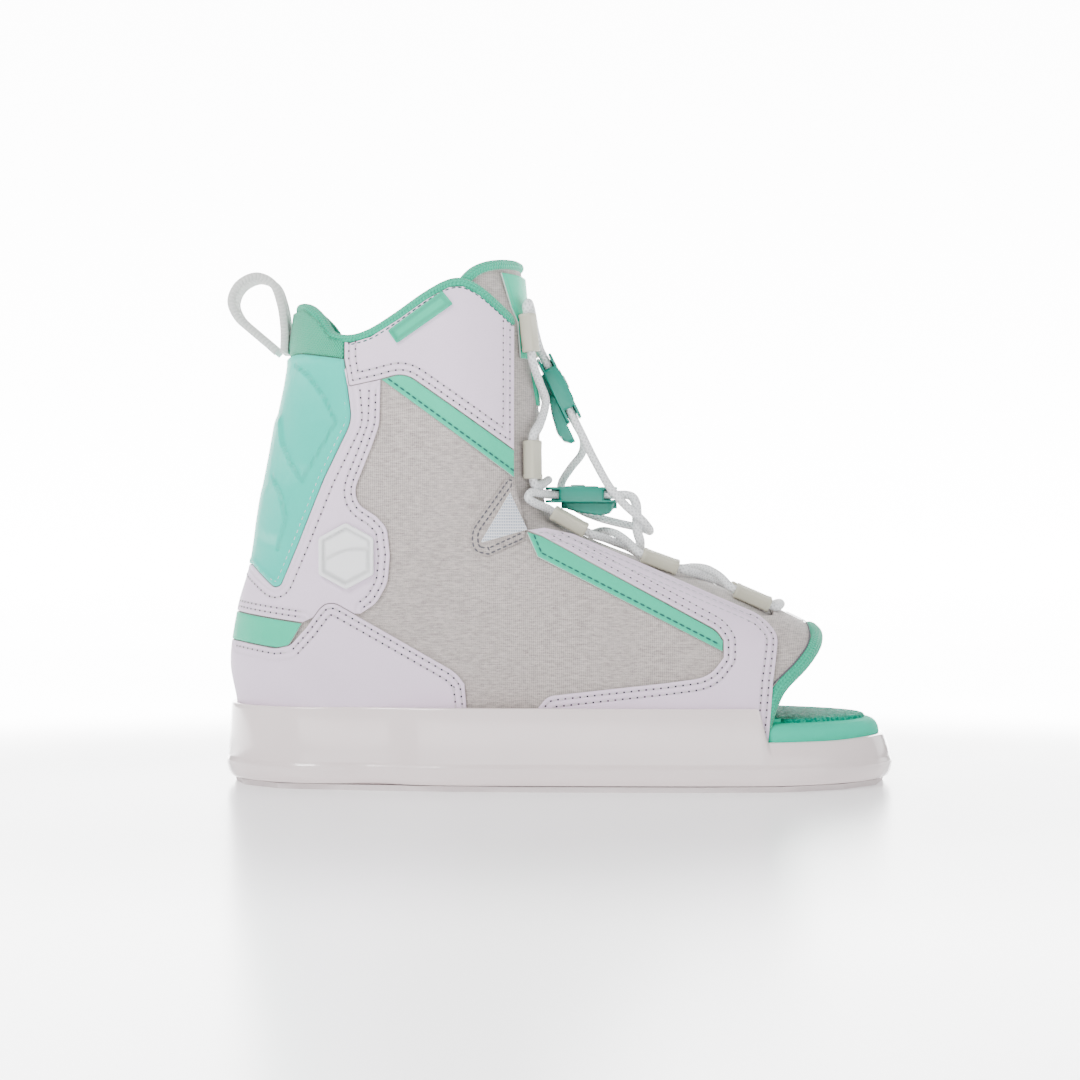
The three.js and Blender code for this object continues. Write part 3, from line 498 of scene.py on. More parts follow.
def fill(shape, cuts, inset, spacing):
    """Vertices in the (s, z) plane and triangles of a shape less its cuts, for s from 0 to 1."""
    plane = to_plane(shape, inset)
    holes = [to_plane(cut, inset) for cut in cuts]
    low, high = plane.min(0), plane.max(0)
    columns = np.arange(low[0] + spacing / 2, high[0], spacing)
    rows = np.arange(low[1] + spacing / 2, high[1], spacing * 0.866)
    grid = np.stack(np.meshgrid(columns, rows), -1)
    grid[1::2, :, 0] += spacing / 2
    grid = grid.reshape(-1, 2)
    border = np.concatenate([plane] + holes)
    grid = grid[inside(grid, plane)]
    near = np.full(len(grid), 1e9)
    for start in range(0, len(border), 300):
        gap = grid[:, None] - border[None, start:start + 300]
        near = np.minimum(near, (gap ** 2).sum(-1).min(1))
    grid = grid[near > (0.55 * spacing) ** 2]
    loops, edges, count = [plane] + holes, [], 0
    for loop in loops:
        edges += [(count + i, count + (i + 1) % len(loop)) for i in range(len(loop))]
        count += len(loop)
    points = [Vector(p) for p in np.concatenate(loops + [grid])]
    verts, _, faces, *_ = delaunay_2d_cdt(points, edges, [], 0, 1e-4, False)
    verts = np.array([tuple(v) for v in verts])
    faces = np.array(faces)
    middle = verts[faces].mean(1)
    keep = inside(middle, plane)
    for hole in holes:
        keep &= ~inside(middle, hole)
    a, b, c = (verts[faces[:, i]] for i in range(3))
    area = np.abs((b[:, 0] - a[:, 0]) * (c[:, 1] - a[:, 1]) - (c[:, 0] - a[:, 0]) * (b[:, 1] - a[:, 1]))
    faces = faces[keep & (area > 1e-5)]
    used, faces = np.unique(faces, return_inverse=True)
    return verts[used], faces.reshape(-1, 3)


def border_edges(faces):
    """Directed edges that belong to one face only."""
    edges = np.concatenate([faces[:, [0, 1]], faces[:, [1, 2]], faces[:, [2, 0]]])
    keys = {tuple(e) for e in edges.tolist()}
    return np.array([e for e in edges.tolist() if (e[1], e[0]) not in keys])


def sheet_mesh(plane, faces, inset, depth, edge_round, lift, closed_back=True):
    """A closed half sheet on the left side: its top, rounded wall and back, as points, faces and rims."""
    s, z = plane[:, 0] / FLAT, plane[:, 1]
    top = surface(-s, z, inset)
    out = normals(-s, z, inset)
    middle = (plane[:, 0] < 1e-6) | (plane[:, 0] > FLAT - 1e-6)
    edges = border_edges(faces)
    open_edges = edges[~(middle[edges[:, 0]] & middle[edges[:, 1]])]
    inward = np.zeros_like(top)
    along = top[open_edges[:, 1]] - top[open_edges[:, 0]]
    along /= np.linalg.norm(along, axis=1, keepdims=True) + 1e-9
    side = np.cross(out[open_edges[:, 0]], along)
    np.add.at(inward, open_edges[:, 0], side)
    np.add.at(inward, open_edges[:, 1], side)
    inward[middle, 1] = 0
    inward /= np.maximum(np.linalg.norm(inward, axis=1, keepdims=True), 1e-9)
    rimmed = np.unique(open_edges)
    top = top + out * lift[:, None]
    moved = top.copy()
    moved[rimmed] += inward[rimmed] * edge_round
    points, rims = [moved], [np.zeros(len(top))]
    index = {int(v): i for i, v in enumerate(rimmed)}
    a = np.array([index[int(v)] for v in open_edges[:, 0]])
    b = np.array([index[int(v)] for v in open_edges[:, 1]])
    walls, before, count = [], rimmed, len(top)
    angles = (60, 30, 0)
    depths = [edge_round * (1 - math.sin(math.radians(t))) for t in angles]
    insets = [edge_round * (1 - math.cos(math.radians(t))) for t in angles]
    for down, pull in zip(depths + [depth], insets + [0.0]):
        row = top[rimmed] - out[rimmed] * down + inward[rimmed] * pull
        now = count + np.arange(len(rimmed))
        walls.append(np.stack([before[b], before[a], now[a], now[b]], 1))
        points.append(row)
        rims.append(np.full(len(rimmed), min(1.0, down / max(edge_round, 1e-6))))
        before, count = now, count + len(rimmed)
    quads = np.concatenate(walls)
    back = faces[:0]
    if closed_back:
        remap = np.arange(count, count + len(top))
        remap[rimmed] = before
        points.append(top - out * depth)
        rims.append(np.ones(len(top)))
        back = remap[faces][:, ::-1]
    return np.concatenate(points), faces, quads, back, np.concatenate(rims)


def write_mesh(name, points, polygons, slots=("lilac",), which=None, layers=None, smooth=35):
    """A mesh object from points in millimetres and a list of face arrays, with named vertex layers."""
    flat = np.concatenate([p.reshape(-1) for p in polygons]).astype(np.int32)
    sizes = np.concatenate([np.full(len(p), p.shape[1]) for p in polygons]).astype(np.int32)
    mesh = bpy.data.meshes.new(name)
    mesh.vertices.add(len(points))
    mesh.vertices.foreach_set("co", (np.asarray(points) * 0.001).astype(np.float32).ravel())
    mesh.loops.add(len(flat))
    mesh.loops.foreach_set("vertex_index", flat)
    mesh.polygons.add(len(sizes))
    mesh.polygons.foreach_set("loop_start", np.concatenate([[0], np.cumsum(sizes)[:-1]]).astype(np.int32))
    mesh.polygons.foreach_set("loop_total", sizes)
    if which is not None:
        mesh.polygons.foreach_set("material_index", np.asarray(which, np.int32))
    for key, values in (layers or {}).items():
        kind = "FLOAT" if values.ndim == 1 else "FLOAT_VECTOR"
        data = mesh.attributes.new(key, kind, "POINT").data
        data.foreach_set("value" if values.ndim == 1 else "vector", values.astype(np.float32).ravel())
    mesh.update(calc_edges=True)
    mesh.validate()
    for slot in slots:
        mesh.materials.append(paints[slot])
    mesh.polygons.foreach_set("use_smooth", np.ones(len(mesh.polygons), bool))
    mesh.set_sharp_from_angle(angle=math.radians(smooth))
    thing = bpy.data.objects.new(name, mesh)
    bpy.context.scene.collection.objects.link(thing)
    made[name] = thing
    return thing


def clean(points, polygons, layers):
    """Drops points that no face uses."""
    used = np.unique(np.concatenate([p.ravel() for p in polygons]))
    back = np.zeros(len(points), int)
    back[used] = np.arange(len(used))
    return points[used], [back[p] for p in polygons], {k: v[used] for k, v in layers.items()}


def panel(name, nodes, shape, cuts, inset, depth, paint, seams=(), edge_round=0.5, spacing=2.6,
          lift=None, joined=False, body="boot"):
    """A panel of the upper on both sides. Seams are side-view lines whose distance goes into the shader.

    joined makes one piece that wraps the heel or the front, sharing the points on the centre plane."""
    plane, faces = fill(shape, cuts, inset, spacing)
    side_view = surface(-plane[:, 0] / FLAT, plane[:, 1], inset)
    raised = np.zeros(len(plane)) if lift is None else lift(side_view[:, 0], side_view[:, 2], side_view)
    points, top, quads, back, rim = sheet_mesh(plane, faces, inset, depth, edge_round, raised)
    lines = [surface(-place(q[:, 0], q[:, 1], inset), q[:, 1], inset) for q in
             (resample(np.asarray(line, float), 0.6) for line in seams)]
    seam = distance_to(points, np.concatenate(lines)) if lines else np.full(len(points), 50.0)
    layers = {"seam": seam, "rim": rim}
    points, polygons, layers = clean(points, [top, quads, back], layers)
    results = []
    mirrored = points * (1, -1, 1)
    flipped = [p[:, ::-1] for p in polygons]
    if joined:
        on_middle = np.abs(points[:, 1]) < 2e-3
        offset = len(points)
        other = np.where(on_middle, np.arange(offset), np.arange(offset) + offset)
        both = np.concatenate([points, mirrored])
        double = {k: np.concatenate([v, v]) for k, v in layers.items()}
        both, polys, double = clean(both, polygons + [other[p] for p in flipped], double)
        results.append(write_mesh(name, both, polys, (paint,), layers=double))
    else:
        results.append(write_mesh(f"{name}_left", points, polygons, (paint,), layers=layers))
        results.append(write_mesh(f"{name}_right", mirrored, flipped, (paint,), layers=layers))
    for thing, node in zip(results, nodes):
        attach(thing, body)
        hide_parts(*np.atleast_1d(node).tolist())
    return results


print("panel tools ready")

# %% [markdown]
# ## Outlines
# Side-view outlines of the panels, as x, z and a corner radius; the CAD solids have the same ones.

# %%
SOLE = 10
THROAT_X = -20
collar_top = [
    (-124, 213), (-113, 213.5), (-106, 208), (-100, 199.5), (-91, 197.5), (-82, 200), (-70, 207.5),
    (-58, 216), (-48, 221.5), (-42, 222), (-35, 218.5), (-20, 206)]
above_collar = outline(
    [(-160, 213)] + [(x, z - 3.6) for x, z in collar_top] + [(0, 190), (0, 260), (-160, 260)])
toe_edge = [(117, 82), (117, 66), (109.5, 56), (98, 45), (94, 37), (91.2, 28), (91, SOLE)]
beyond_toe = outline([(x - 6, z) for x, z in toe_edge] + [(80, 0), (160, 0), (160, 90)])
vamp_points = [
    (-14, 113), (-7, 114.2), (6, 111.3), (36, 98.5), (65, 85.8), (88, 76, 5), (95, 68, 4), (92, 48), (90, 24),
    (88, SOLE), (-12, SOLE), (-12, 33), (-5.5, 41, 3), (46, 47), (64, 49.5, 7), (70.4, 58), (70.5, 65.5),
    (67.8, 69.8, 3), (-7.7, 110.6)]
vamp_strip_points = [
    (-14.2, 112.2), (-7.9, 110.2), (67.4, 69.4, 3), (70.1, 65.2), (69.9, 60.7), (-9.7, 101.6)]
ankle_points = [
    (-20.5, 135.5), (-23, 136), (-39.5, 112.5, 4), (-38.5, 103, 5), (-31, 101.5), (-15.5, 108.5),
    (-15.2, 112.6)]
cuff_points = [
    (-93.5, 260), (-93.5, 187), (-91.4, 175.4, 1), (-79, 178), (-67.4, 181.3, 6), (THROAT_X, 148.2),
    (THROAT_X, 260)]
cuff_strip_points = [(-77.3, 178), (-67.4, 180.8), (THROAT_X, 147.7), (THROAT_X, 136.2)]
shell_points = [
    (-160, 99.5), (-137, 97.6), (-125.5, 87.8, 2), (-122.5, 89, 1), (-114.3, 107.7), (-103, 135.2),
    (-90.5, 160.3, 5), (-94, 187), (-115.4, 190.6, 2), (-160, 186)]
band_points = [
    (-160, 77.4), (-143, 76.2), (-112.8, 72.2), (-118.7, 62.4, 2), (-124.7, 61.6), (-142, 63.9), (-160, 65)]
counter_points = [
    (-160, 64.6), (-142, 63.5), (-124.7, 61, 2), (-117.8, 62.6, 2), (-110.6, 70.5), (-103, 80.6, 3),
    (-98, 81, 2), (-45.4, 51.1, 4), (-41.6, 46), (-40.2, 30), (-40, SOLE), (-160, SOLE)]
saddle_points = [
    (-160, 78), (-143, 76.7), (-112.4, 72.7), (-103, 77), (-87, 76.5), (-80, 81, 3), (-75, 90, 3),
    (-74, 102), (-75.2, 114, 3), (-80, 119), (-87.6, 124, 3), (-89.3, 130.4, 4), (-81.8, 149),
    (-78.3, 158.6, 3),
    (-77.6, 183), (-91, 183), (-160, 183)]
tab_points = [(-160, 188), (-115.4, 191), (-94.3, 187.4), (-94, 204), (-94, 260), (-160, 260)]
quarter_points = [
    (-160, SOLE), (-160, 260), (THROAT_X, 260), (THROAT_X, 135.5), (-14.7, 113.3), (-7, 113.2),
    (6, 109.8), (36, 97.2), (65, 84.8), (78, 79), (78, SOLE)]
toe_points = [(78.3, 110), (78.3, SOLE), (160, SOLE), (160, 110)]
throat_front = outline([(60, 120), (60, 87), (78, 80), (89, 75.4), (95, 75.4), (95, 120)])
liner_points = [(-160, SOLE), (-160, 260), (0, 260), (160, 110), (160, SOLE)]
tongue_top = [(-44, 221), (-37, 228.3), (-27, 232), (0, 234)]
tongue_points = tongue_top + [
    (60, 234), (97.5, 100), (97.5, 55), (60, 66), (-10, 92, 10), (-34, 122, 15), (-42, 160)]
strip_points = [(-25.5, 226), (-21, 211), (-18.2, 205), (-17, 189), (10, 189), (10, 226)]
label_points = [(-74.5, 199, 0.8), (-51, 216.2, 0.8), (-46.3, 210.5, 0.8), (-70.6, 193.5, 0.8)]
BADGE = (-93, 101.6)
badge_points = [(BADGE[0] + x, BADGE[1] + z, 1.2) for x, z in
                ((0, 14.5), (12, 8), (12, -8), (0, -14.5), (-12, -8), (-12, 8))]

shapes = {
    "vamp": outline(vamp_points), "vamp_strip": outline(vamp_strip_points), "ankle": outline(ankle_points),
    "cuff": outline(cuff_points), "cuff_strip": outline(cuff_strip_points), "shell": outline(shell_points),
    "band": outline(band_points), "counter": outline(counter_points), "saddle": outline(saddle_points),
    "tab": outline(tab_points), "quarter": outline(quarter_points), "toe": outline(toe_points),
    "liner": outline(liner_points, 2.5), "tongue": outline(tongue_points, 2.0),
    "strip": outline(strip_points),
    "label": outline(label_points, 0.8), "badge": outline(badge_points, 0.8)}
grown = {key: grow(shape, GAP) for key, shape in shapes.items()}


def line(points, closed=False):
    """A side-view line with its corners rounded, open unless closed."""
    dense = outline(points, 0.8)
    if closed:
        return np.concatenate([dense, dense[:1]])
    last = np.argmin(np.linalg.norm(dense - np.array(points[-1][:2]), axis=1))
    return dense[:last + 1]


# The edges that are stitched, each an open run of an outline.
seams = {
    "cuff": line([(-93.5, 212)] + cuff_points[1:6] + [(THROAT_X, 206)]),
    "cuff_strip": line([(-77.3, 178), (THROAT_X, 136.2)]),
    "vamp_inner": line([(-12, 33), (-5.5, 41, 3), (46, 47), (64, 49.5, 7), (70.4, 58), (70.5, 65.5),
                        (67.8, 69.8, 3), (-7.7, 110.6)]),
    "vamp_front": line([(84, 77.8), (88, 76, 5), (95, 68, 4), (92, 48), (90, 24)]),
    "vamp_top": line([(-14, 113), (-7, 114.2), (6, 111.3), (36, 98.5), (65, 85.8), (86, 76.8)]),
    "vamp_strip": line([(-14.2, 112.2), (-9.7, 101.6), (69.9, 60.7)]),
    "ankle": line(ankle_points[:-1]),
    "counter_front": line([(-117.8, 62.6), (-110.6, 70.5), (-103, 80.6, 3), (-98, 81, 2), (-45.4, 51.1, 4),
                           (-41.6, 46), (-40.2, 34)]),
    "counter_top": line([(-143.5, 63.6), (-142, 63.5), (-124.7, 61), (-118.6, 61.8)]),
    "saddle_low": line([(-143.5, 76.8), (-143, 76.7), (-112.4, 72.7)]),
    "saddle_front": line([(-84, 78), (-80, 81, 3), (-75, 90, 3), (-74, 102), (-75.2, 114, 3), (-80, 119),
                          (-87.6, 124, 3), (-89.3, 130.4, 4), (-81.8, 149), (-78.3, 158.6, 3), (-77.8, 174)]),
    "saddle_back": line([(-138.4, 97.6), (-125.5, 87.8, 3), (-122.5, 89, 2), (-114.3, 107.7), (-103, 135.2),
                         (-90.5, 160.3, 3), (-91.6, 174)]),
    "quarter_toe": line([(94.5, 66), (92, 48), (90.5, 28)]),
}
print("outlines", len(shapes), "seams", len(seams))

# %% [markdown]
# ## Panels of the upper
# Every piece of the side: jersey quarter, leather panels, mint strips, moulded heel shell and trim.

# %%
OVER = -1.5
ABOVE = OVER - 0.3


def border_distance(x, z, shape):
    """Side-view distance of points from an outline."""
    flat = np.stack([x, z, np.zeros(len(x))], 1)
    return distance_to(flat, np.concatenate([shape, np.zeros((len(shape), 1))], 1))


panel("quarter", ["quarter_left", "quarter_right"], shapes["quarter"], [above_collar, beyond_toe], 0.0, 1.3,
      "heather", seams=[seams["ankle"]], spacing=3.2)
panel("toe_fabric", ["toe_fabric"], shapes["toe"], [beyond_toe, throat_front], 0.0, 1.3, "heather",
      spacing=3.2, joined=True)
panel("vamp_panel", ["vamp_panel_left", "vamp_panel_right"], shapes["vamp"], [], OVER, 1.2, "lilac",
      seams=[seams["vamp_inner"], seams["vamp_front"], seams["vamp_top"]])
panel("vamp_strip", ["vamp_strip_left", "vamp_strip_right"], shapes["vamp_strip"], [grown["vamp"]], OVER, 1.2,
      "mint", seams=[seams["vamp_strip"]], spacing=2.0)
panel("cuff_panel", ["cuff_panel_left", "cuff_panel_right"], shapes["cuff"], [above_collar], OVER, 1.2,
      "lilac",
      seams=[seams["cuff"]])
panel("cuff_strip", ["cuff_strip_left", "cuff_strip_right"], shapes["cuff_strip"], [grown["cuff"]], OVER, 1.2,
      "mint", seams=[seams["cuff_strip"]], spacing=2.0)
panel("heel_counter", ["heel_counter"], shapes["counter"], [], OVER, 1.2, "lilac",
      seams=[seams["counter_front"], seams["counter_top"]], joined=True)
panel("heel_band", ["heel_band"], shapes["band"], [grown["counter"]], OVER, 1.2, "mint",
      spacing=2.0, joined=True)
panel("heel_saddle", ["heel_saddle"], shapes["saddle"],
      [grown[k] for k in ("shell", "counter", "band", "cuff", "cuff_strip")], OVER, 1.2, "lilac",
      seams=[seams["saddle_low"], seams["saddle_front"], seams["saddle_back"]], joined=True)
print("panels", sorted(made))

# %% [markdown]
# ### Heel shell
# Moulded relief: each rib line has a sharp step on one side and on the other a swell that dies away,
# height = h exp(-d / reach), with d the distance from the line.

# %%
RIBS = [
    [(-117, 186), (-110, 180), (-103, 171), (-97.5, 160), (-104, 149), (-112, 136)],
    [(-124, 166), (-122.5, 152), (-118, 142), (-112.5, 134.5)],
    [(-127, 137), (-122.5, 128), (-120, 118), (-124, 105)],
]


def shell_relief(x, z, points):
    total = np.zeros(len(x))
    for rib in RIBS:
        dense = resample(np.array(rib, float), 0.5)
        flat = np.stack([x, z], 1)
        near = np.array([np.argmin(((dense - p) ** 2).sum(1)) for p in flat])
        near = np.clip(near, 1, len(dense) - 2)
        along = dense[near + 1] - dense[near - 1]
        gap = flat - dense[near]
        distance = np.linalg.norm(gap, axis=1)
        signed = np.sign(along[:, 0] * gap[:, 1] - along[:, 1] * gap[:, 0]) * distance
        ends = smooth_step(np.minimum(near, len(dense) - 1 - near) / 12)
        soft = np.exp(-np.maximum(-signed, 0) / 6.5)
        step = 1 - smooth_step((signed + 0.2) / 1.2)
        total += 1.5 * soft * step * ends
    border = border_distance(x, z, shapes["shell"])
    lip = smooth_step((3.2 - border) / 1.6) * smooth_step(border / 0.8)
    return total * smooth_step(border / 3) + 0.35 * lip


# The rib lines go in as seams, so the shell is painted darker along each rib step: painted shade.
paints["shell"] = leather("heel_shell_rubber", (14, 202, 180), rough=0.4, grain=0.012, rows=(0.5,), groove_shade=0.16,
                          raw=(118, 190, 176))
panel("heel_shell", ["heel_shell"], shapes["shell"], [grown["cuff"]], OVER, 1.2, "shell",
      spacing=1.5, lift=shell_relief, joined=True, seams=[np.array(rib, float) for rib in RIBS])
panel("ankle_mesh", ["ankle_mesh_left", "ankle_mesh_right"], shapes["ankle"],
      [grown[k] for k in ("vamp", "vamp_strip", "cuff_strip")], -0.6, 0.55, "heather",
      seams=[seams["ankle"]], spacing=1.8)
mesh_triangle = outline([(-21.8, 129.5), (-14.2, 113.2), (-35.0, 107.2, 2)], 0.8)
for thing in panel("mesh_window", [[], []], mesh_triangle, [], -0.95, 0.5, "mesh", spacing=1.4,
                   edge_round=0.25):
    print("window", thing.name)


# %% [markdown]
# ### Badge and label
# Both have a raised rim and a blank or plain middle: the height falls from the rim by a smooth step of the
# distance from the outline.

# %%
def badge_relief(x, z, points):
    border = border_distance(x, z, shapes["badge"])
    rim = 1 - smooth_step((border - 1.9) / 0.7)
    u, v = x - BADGE[0], z - BADGE[1]
    dome = 0.55 * np.exp(-((u / 8) ** 2 + ((v + 1) / 9) ** 2))
    wave = smooth_step((2.5 + 0.25 * u - 0.02 * u * u - v) / 0.9)
    return rim * 0.15 + (1 - rim) * (-0.95 + dome * 0.8 + 0.45 * wave)


def label_relief(x, z, points):
    border = border_distance(x, z, shapes["label"])
    return -0.4 * smooth_step((border - 1.1) / 0.5)


# Painted shade: the badge is darker along its inner hexagon and wave, and the label along its inner line,
# where their relief steps down.
hexagon = np.array([(x, z) for x, z, _ in badge_points + badge_points[:1]], float) - BADGE
wave_x = np.linspace(-8.5, 8.5, 40)
badge_shade_lines = [hexagon * 0.8 + BADGE, np.stack([wave_x, 2.5 + 0.25 * wave_x - 0.02 * wave_x ** 2], 1) + BADGE]
label_shade_line = grow(shapes["label"], -1.4)


paints["badge"] = leather("badge_pearl", (246, 247, 248), rough=0.22, grain=0.004, rows=(0.3,), groove_shade=0.3,
                          raw=(232, 232, 234))
paints["label"] = leather("label_mint", (24, 190, 150), rough=0.5, grain=0.01, rows=(0.2,), groove_shade=0.25,
                          raw=(92, 184, 158))
panel("ankle_badge", ["ankle_badge_left", "ankle_badge_right"], shapes["badge"], [], ABOVE - 1.6,
      1.55, "badge",
      spacing=0.8, lift=badge_relief, edge_round=0.5, seams=badge_shade_lines)
panel("cuff_label", ["cuff_label_left", "cuff_label_right"], shapes["label"], [], ABOVE - 0.9, 0.85, "label",
      spacing=0.9, lift=label_relief, edge_round=0.3, seams=[label_shade_line])
print("trim", [n for n in made if "badge" in n or "label" in n])

# %% [markdown]
# ### Stitches
# A row is the stitched edge moved inwards by its distance. Each stitch is a small arched capsule between two
# needle holes 3.2 mm apart, set along the row's own direction on the surface. A needle hole is a flat dark
# disc: painted shade of the hole.

# %%
def capsule(length, width, height, around=6, steps=5):
    """Vertices and quads of a rounded bar along x that is fattest in the middle."""
    t = np.linspace(-1, 1, steps)
    size = np.sqrt(np.clip(1 - t ** 4, 0.04, 1))
    angle = np.arange(around) * 2 * np.pi / around
    points = np.stack([
        np.repeat(t * length / 2, around),
        (size[:, None] * np.cos(angle) * width / 2).ravel(),
        (size[:, None] * (np.sin(angle) * 0.5 + 0.3) * height).ravel()], 1)
    i = np.arange(steps - 1)[:, None] * around
    j = np.arange(around)[None]
    k = (j + 1) % around
    return points, np.stack([i + j, i + k, i + around + k, i + around + j], -1).reshape(-1, 4)[:, ::-1]


def disc(length, width, around=8):
    angle = np.arange(around) * 2 * np.pi / around
    points = np.stack([np.cos(angle) * length / 2, np.sin(angle) * width / 2, np.full(around, 0.05)], 1)
    return points, np.array([[0, i, i + 1] for i in range(1, around - 1)])


def offset_line(points, distance, shape):
    """A side-view line moved by distance to the side that lies inside the shape."""
    d = np.gradient(points, axis=0)
    d /= np.linalg.norm(d, axis=1, keepdims=True) + 1e-9
    normal = np.stack([-d[:, 1], d[:, 0]], 1)
    best = None
    for sign in (1, -1):
        moved = points + normal * distance * sign
        gap = np.sqrt(((moved[:, None] - points[None]) ** 2).sum(-1)).min(1)
        moved = moved[(gap > distance * 0.93) & inside(moved, shape) & ~inside(moved, above_collar)]
        if best is None or len(moved) > len(best):
            best = moved
    return best


def row_frames(side_points, inset, pitch, phase=0.5):
    """Evenly spaced places along a row on the left side: points, directions and normals."""
    s = place(side_points[:, 0], side_points[:, 1], inset)
    path = surface(-s, side_points[:, 1], inset)
    out = normals(-s, side_points[:, 1], inset)
    length = np.concatenate([[0], np.cumsum(np.linalg.norm(np.diff(path, axis=0), axis=1))])
    at = np.arange(pitch * phase, length[-1] - pitch * 0.3, pitch)
    spots = np.stack([np.interp(at, length, path[:, k]) for k in range(3)], 1)
    ahead = np.stack([np.interp(at + 0.6, length, path[:, k]) for k in range(3)], 1)
    behind = np.stack([np.interp(at - 0.6, length, path[:, k]) for k in range(3)], 1)
    normal = np.stack([np.interp(at, length, out[:, k]) for k in range(3)], 1)
    along = ahead - behind
    along /= np.linalg.norm(along, axis=1, keepdims=True) + 1e-9
    normal -= along * np.sum(normal * along, 1, keepdims=True)
    normal /= np.linalg.norm(normal, axis=1, keepdims=True) + 1e-9
    return spots, along, normal


def instances(base, faces, spots, along, normal):
    """The base shape repeated in each frame: points and faces."""
    across = np.cross(normal, along)
    points = (spots[:, None] + base[None, :, :1] * along[:, None] + base[None, :, 1:2] * across[:, None]
              + base[None, :, 2:] * normal[:, None])
    index = faces[None] + (np.arange(len(spots)) * len(base))[:, None, None]
    return points.reshape(-1, 3), index.reshape(-1, faces.shape[1])


def stitches(name, shape, runs, inset, thread_paint, pitch=3.2, length=2.5, thick=0.62, holes=True):
    """All stitch rows of a panel as one piece. Runs are (seam name, distance from the edge)."""
    points, quads, triangles, count = [], [], [], 0
    for key, distance in runs:
        source = seams[key] if isinstance(key, str) else key
        track = offset_line(resample(source, 0.5), distance, shape)
        for phase, part in ((0.5, "thread"), (0.0, "hole")):
            if part == "hole" and not holes:
                continue
            spots, along, normal = row_frames(track, inset, pitch, phase)
            spots = spots + normal * (0.0 if part == "thread" else 0.03)
            base, faces = capsule(length, thick, 0.42) if part == "thread" else disc(1.15, 0.85)
            for mirror in (1, -1):
                flip = np.array([1, mirror, 1])
                p, f = instances(base * (1, 1, 1), faces, spots, along, normal)
                f = f if mirror == 1 else f[:, ::-1]
                points.append(p * flip)
                (quads if part == "thread" else triangles).append(f + count)
                count += len(p)
    polygons = [np.concatenate(quads)] + ([np.concatenate(triangles)] if triangles else [])
    which = np.concatenate([np.full(len(p), i) for i, p in enumerate(polygons)])
    thing = write_mesh(name, np.concatenate(points), polygons, (thread_paint, "hole")[:len(polygons)], which,
                       smooth=80)
    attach(thing, "boot")
    return thing


stitches("stitch_cuff", shapes["cuff"], [("cuff", 2.0), ("cuff", 4.9)], OVER, "lilac_thread")
stitches("stitch_vamp", shapes["vamp"], [("vamp_inner", 2.0), ("vamp_inner", 4.9), ("vamp_front", 2.0),
                                         ("vamp_front", 4.9)], OVER, "lilac_thread")
stitches("stitch_vamp_top", shapes["vamp"], [("vamp_top", 2.2), ("vamp_top", 4.6)], OVER, "pale_thread",
         holes=False)
stitches("stitch_counter", shapes["counter"], [("counter_front", 2.0), ("counter_front", 4.9),
                                               ("counter_top", 2.2)], OVER, "lilac_thread")
stitches("stitch_saddle", shapes["saddle"], [
    ("saddle_low", 2.2), ("saddle_low", 4.6), ("saddle_front", 2.0), ("saddle_front", 4.9),
    ("saddle_back", 2.0), ("saddle_back", 4.9)], OVER, "lilac_thread")
for key in ("cuff_strip", "vamp_strip"):
    stitches(f"stitch_{key}", shapes[key], [(key, 2.0)], OVER, "teal_thread", 3.2, 2.7, 0.75, False)
stitches("stitch_ankle", shapes["ankle"], [("ankle", 1.0), ("ankle", 3.3)], -0.62, "grey_thread",
         2.7, 2.1, 0.75, False)
print("stitch pieces", sum(1 for n in made if n.startswith("stitch")))

# %% [markdown]
# ## Lofts and sweeps
# A loft joins rings of n points; `lay` keeps, for every face corner, the distance along and around it.
# A sweep carries a cross-section along a path: point = path + across * a + normal * b.

# %%
def loft(rings, wrap=True, cap_start=False, cap_end=False):
    """Points, faces and corner layout of rings (k, n, 3), each ring closed when wrap is set."""
    rings = np.asarray(rings, float)
    k, n, _ = rings.shape
    m = n if wrap else n - 1
    i, j = np.meshgrid(np.arange(k - 1), np.arange(m), indexing="ij")
    corners = [(i, j), (i, j + 1), (i + 1, j + 1), (i + 1, j)]
    quads = np.stack([a * n + b % n for a, b in corners], -1).reshape(-1, 4)
    along = np.concatenate([[0], np.cumsum(np.linalg.norm(np.diff(rings.mean(1), axis=0), axis=1))])
    if along[-1] < 1:
        along = np.concatenate([[0], np.cumsum(np.linalg.norm(np.diff(rings, axis=0), axis=-1).mean(1))])
    ring = np.concatenate([rings[k // 2], rings[k // 2, :1]])
    around = np.concatenate([[0], np.cumsum(np.linalg.norm(np.diff(ring, axis=0), axis=1))])
    lay = np.stack([np.stack([along[a], around[b], np.zeros(a.shape)], -1) for a, b in corners], 2)
    polygons, lays = [quads], [lay.reshape(-1, 4, 3)]
    for use, base, turn in ((cap_start, 0, -1), (cap_end, (k - 1) * n, 1)):
        if use:
            fan = np.array([[base, base + q, base + q + 1][::turn] for q in range(1, n - 1)])
            polygons.append(fan)
            lays.append(np.zeros((len(fan), 3, 3)))
    return rings.reshape(-1, 3), polygons, lays


def put(name, points, polygons, lays, paint, nodes=(), slot=None, body="boot", smooth=50, mirror=False):
    """Writes a lofted piece, with its corner layout, on its body."""
    if mirror:
        points = points * (1, -1, 1)
        polygons = [p[:, ::-1] for p in polygons]
        lays = [q[:, ::-1] for q in lays]
    thing = write_mesh(name, points, polygons, (paint,), smooth=smooth)
    data = thing.data.attributes.new("lay", "FLOAT_VECTOR", "CORNER").data
    data.foreach_set("vector", np.concatenate([q.reshape(-1, 3) for q in lays]).astype(np.float32).ravel())
    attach(thing, body)
    if len(nodes):
        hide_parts(*nodes)
    return thing


def gather(parts):
    """Several lofts as one: points, polygons and layouts."""
    points, polygons, lays, count = [], [], [], 0
    for p, polys, lay in parts:
        points.append(p)
        polygons += [q + count for q in polys]
        lays += lay
        count += len(p)
    return np.concatenate(points), polygons, lays


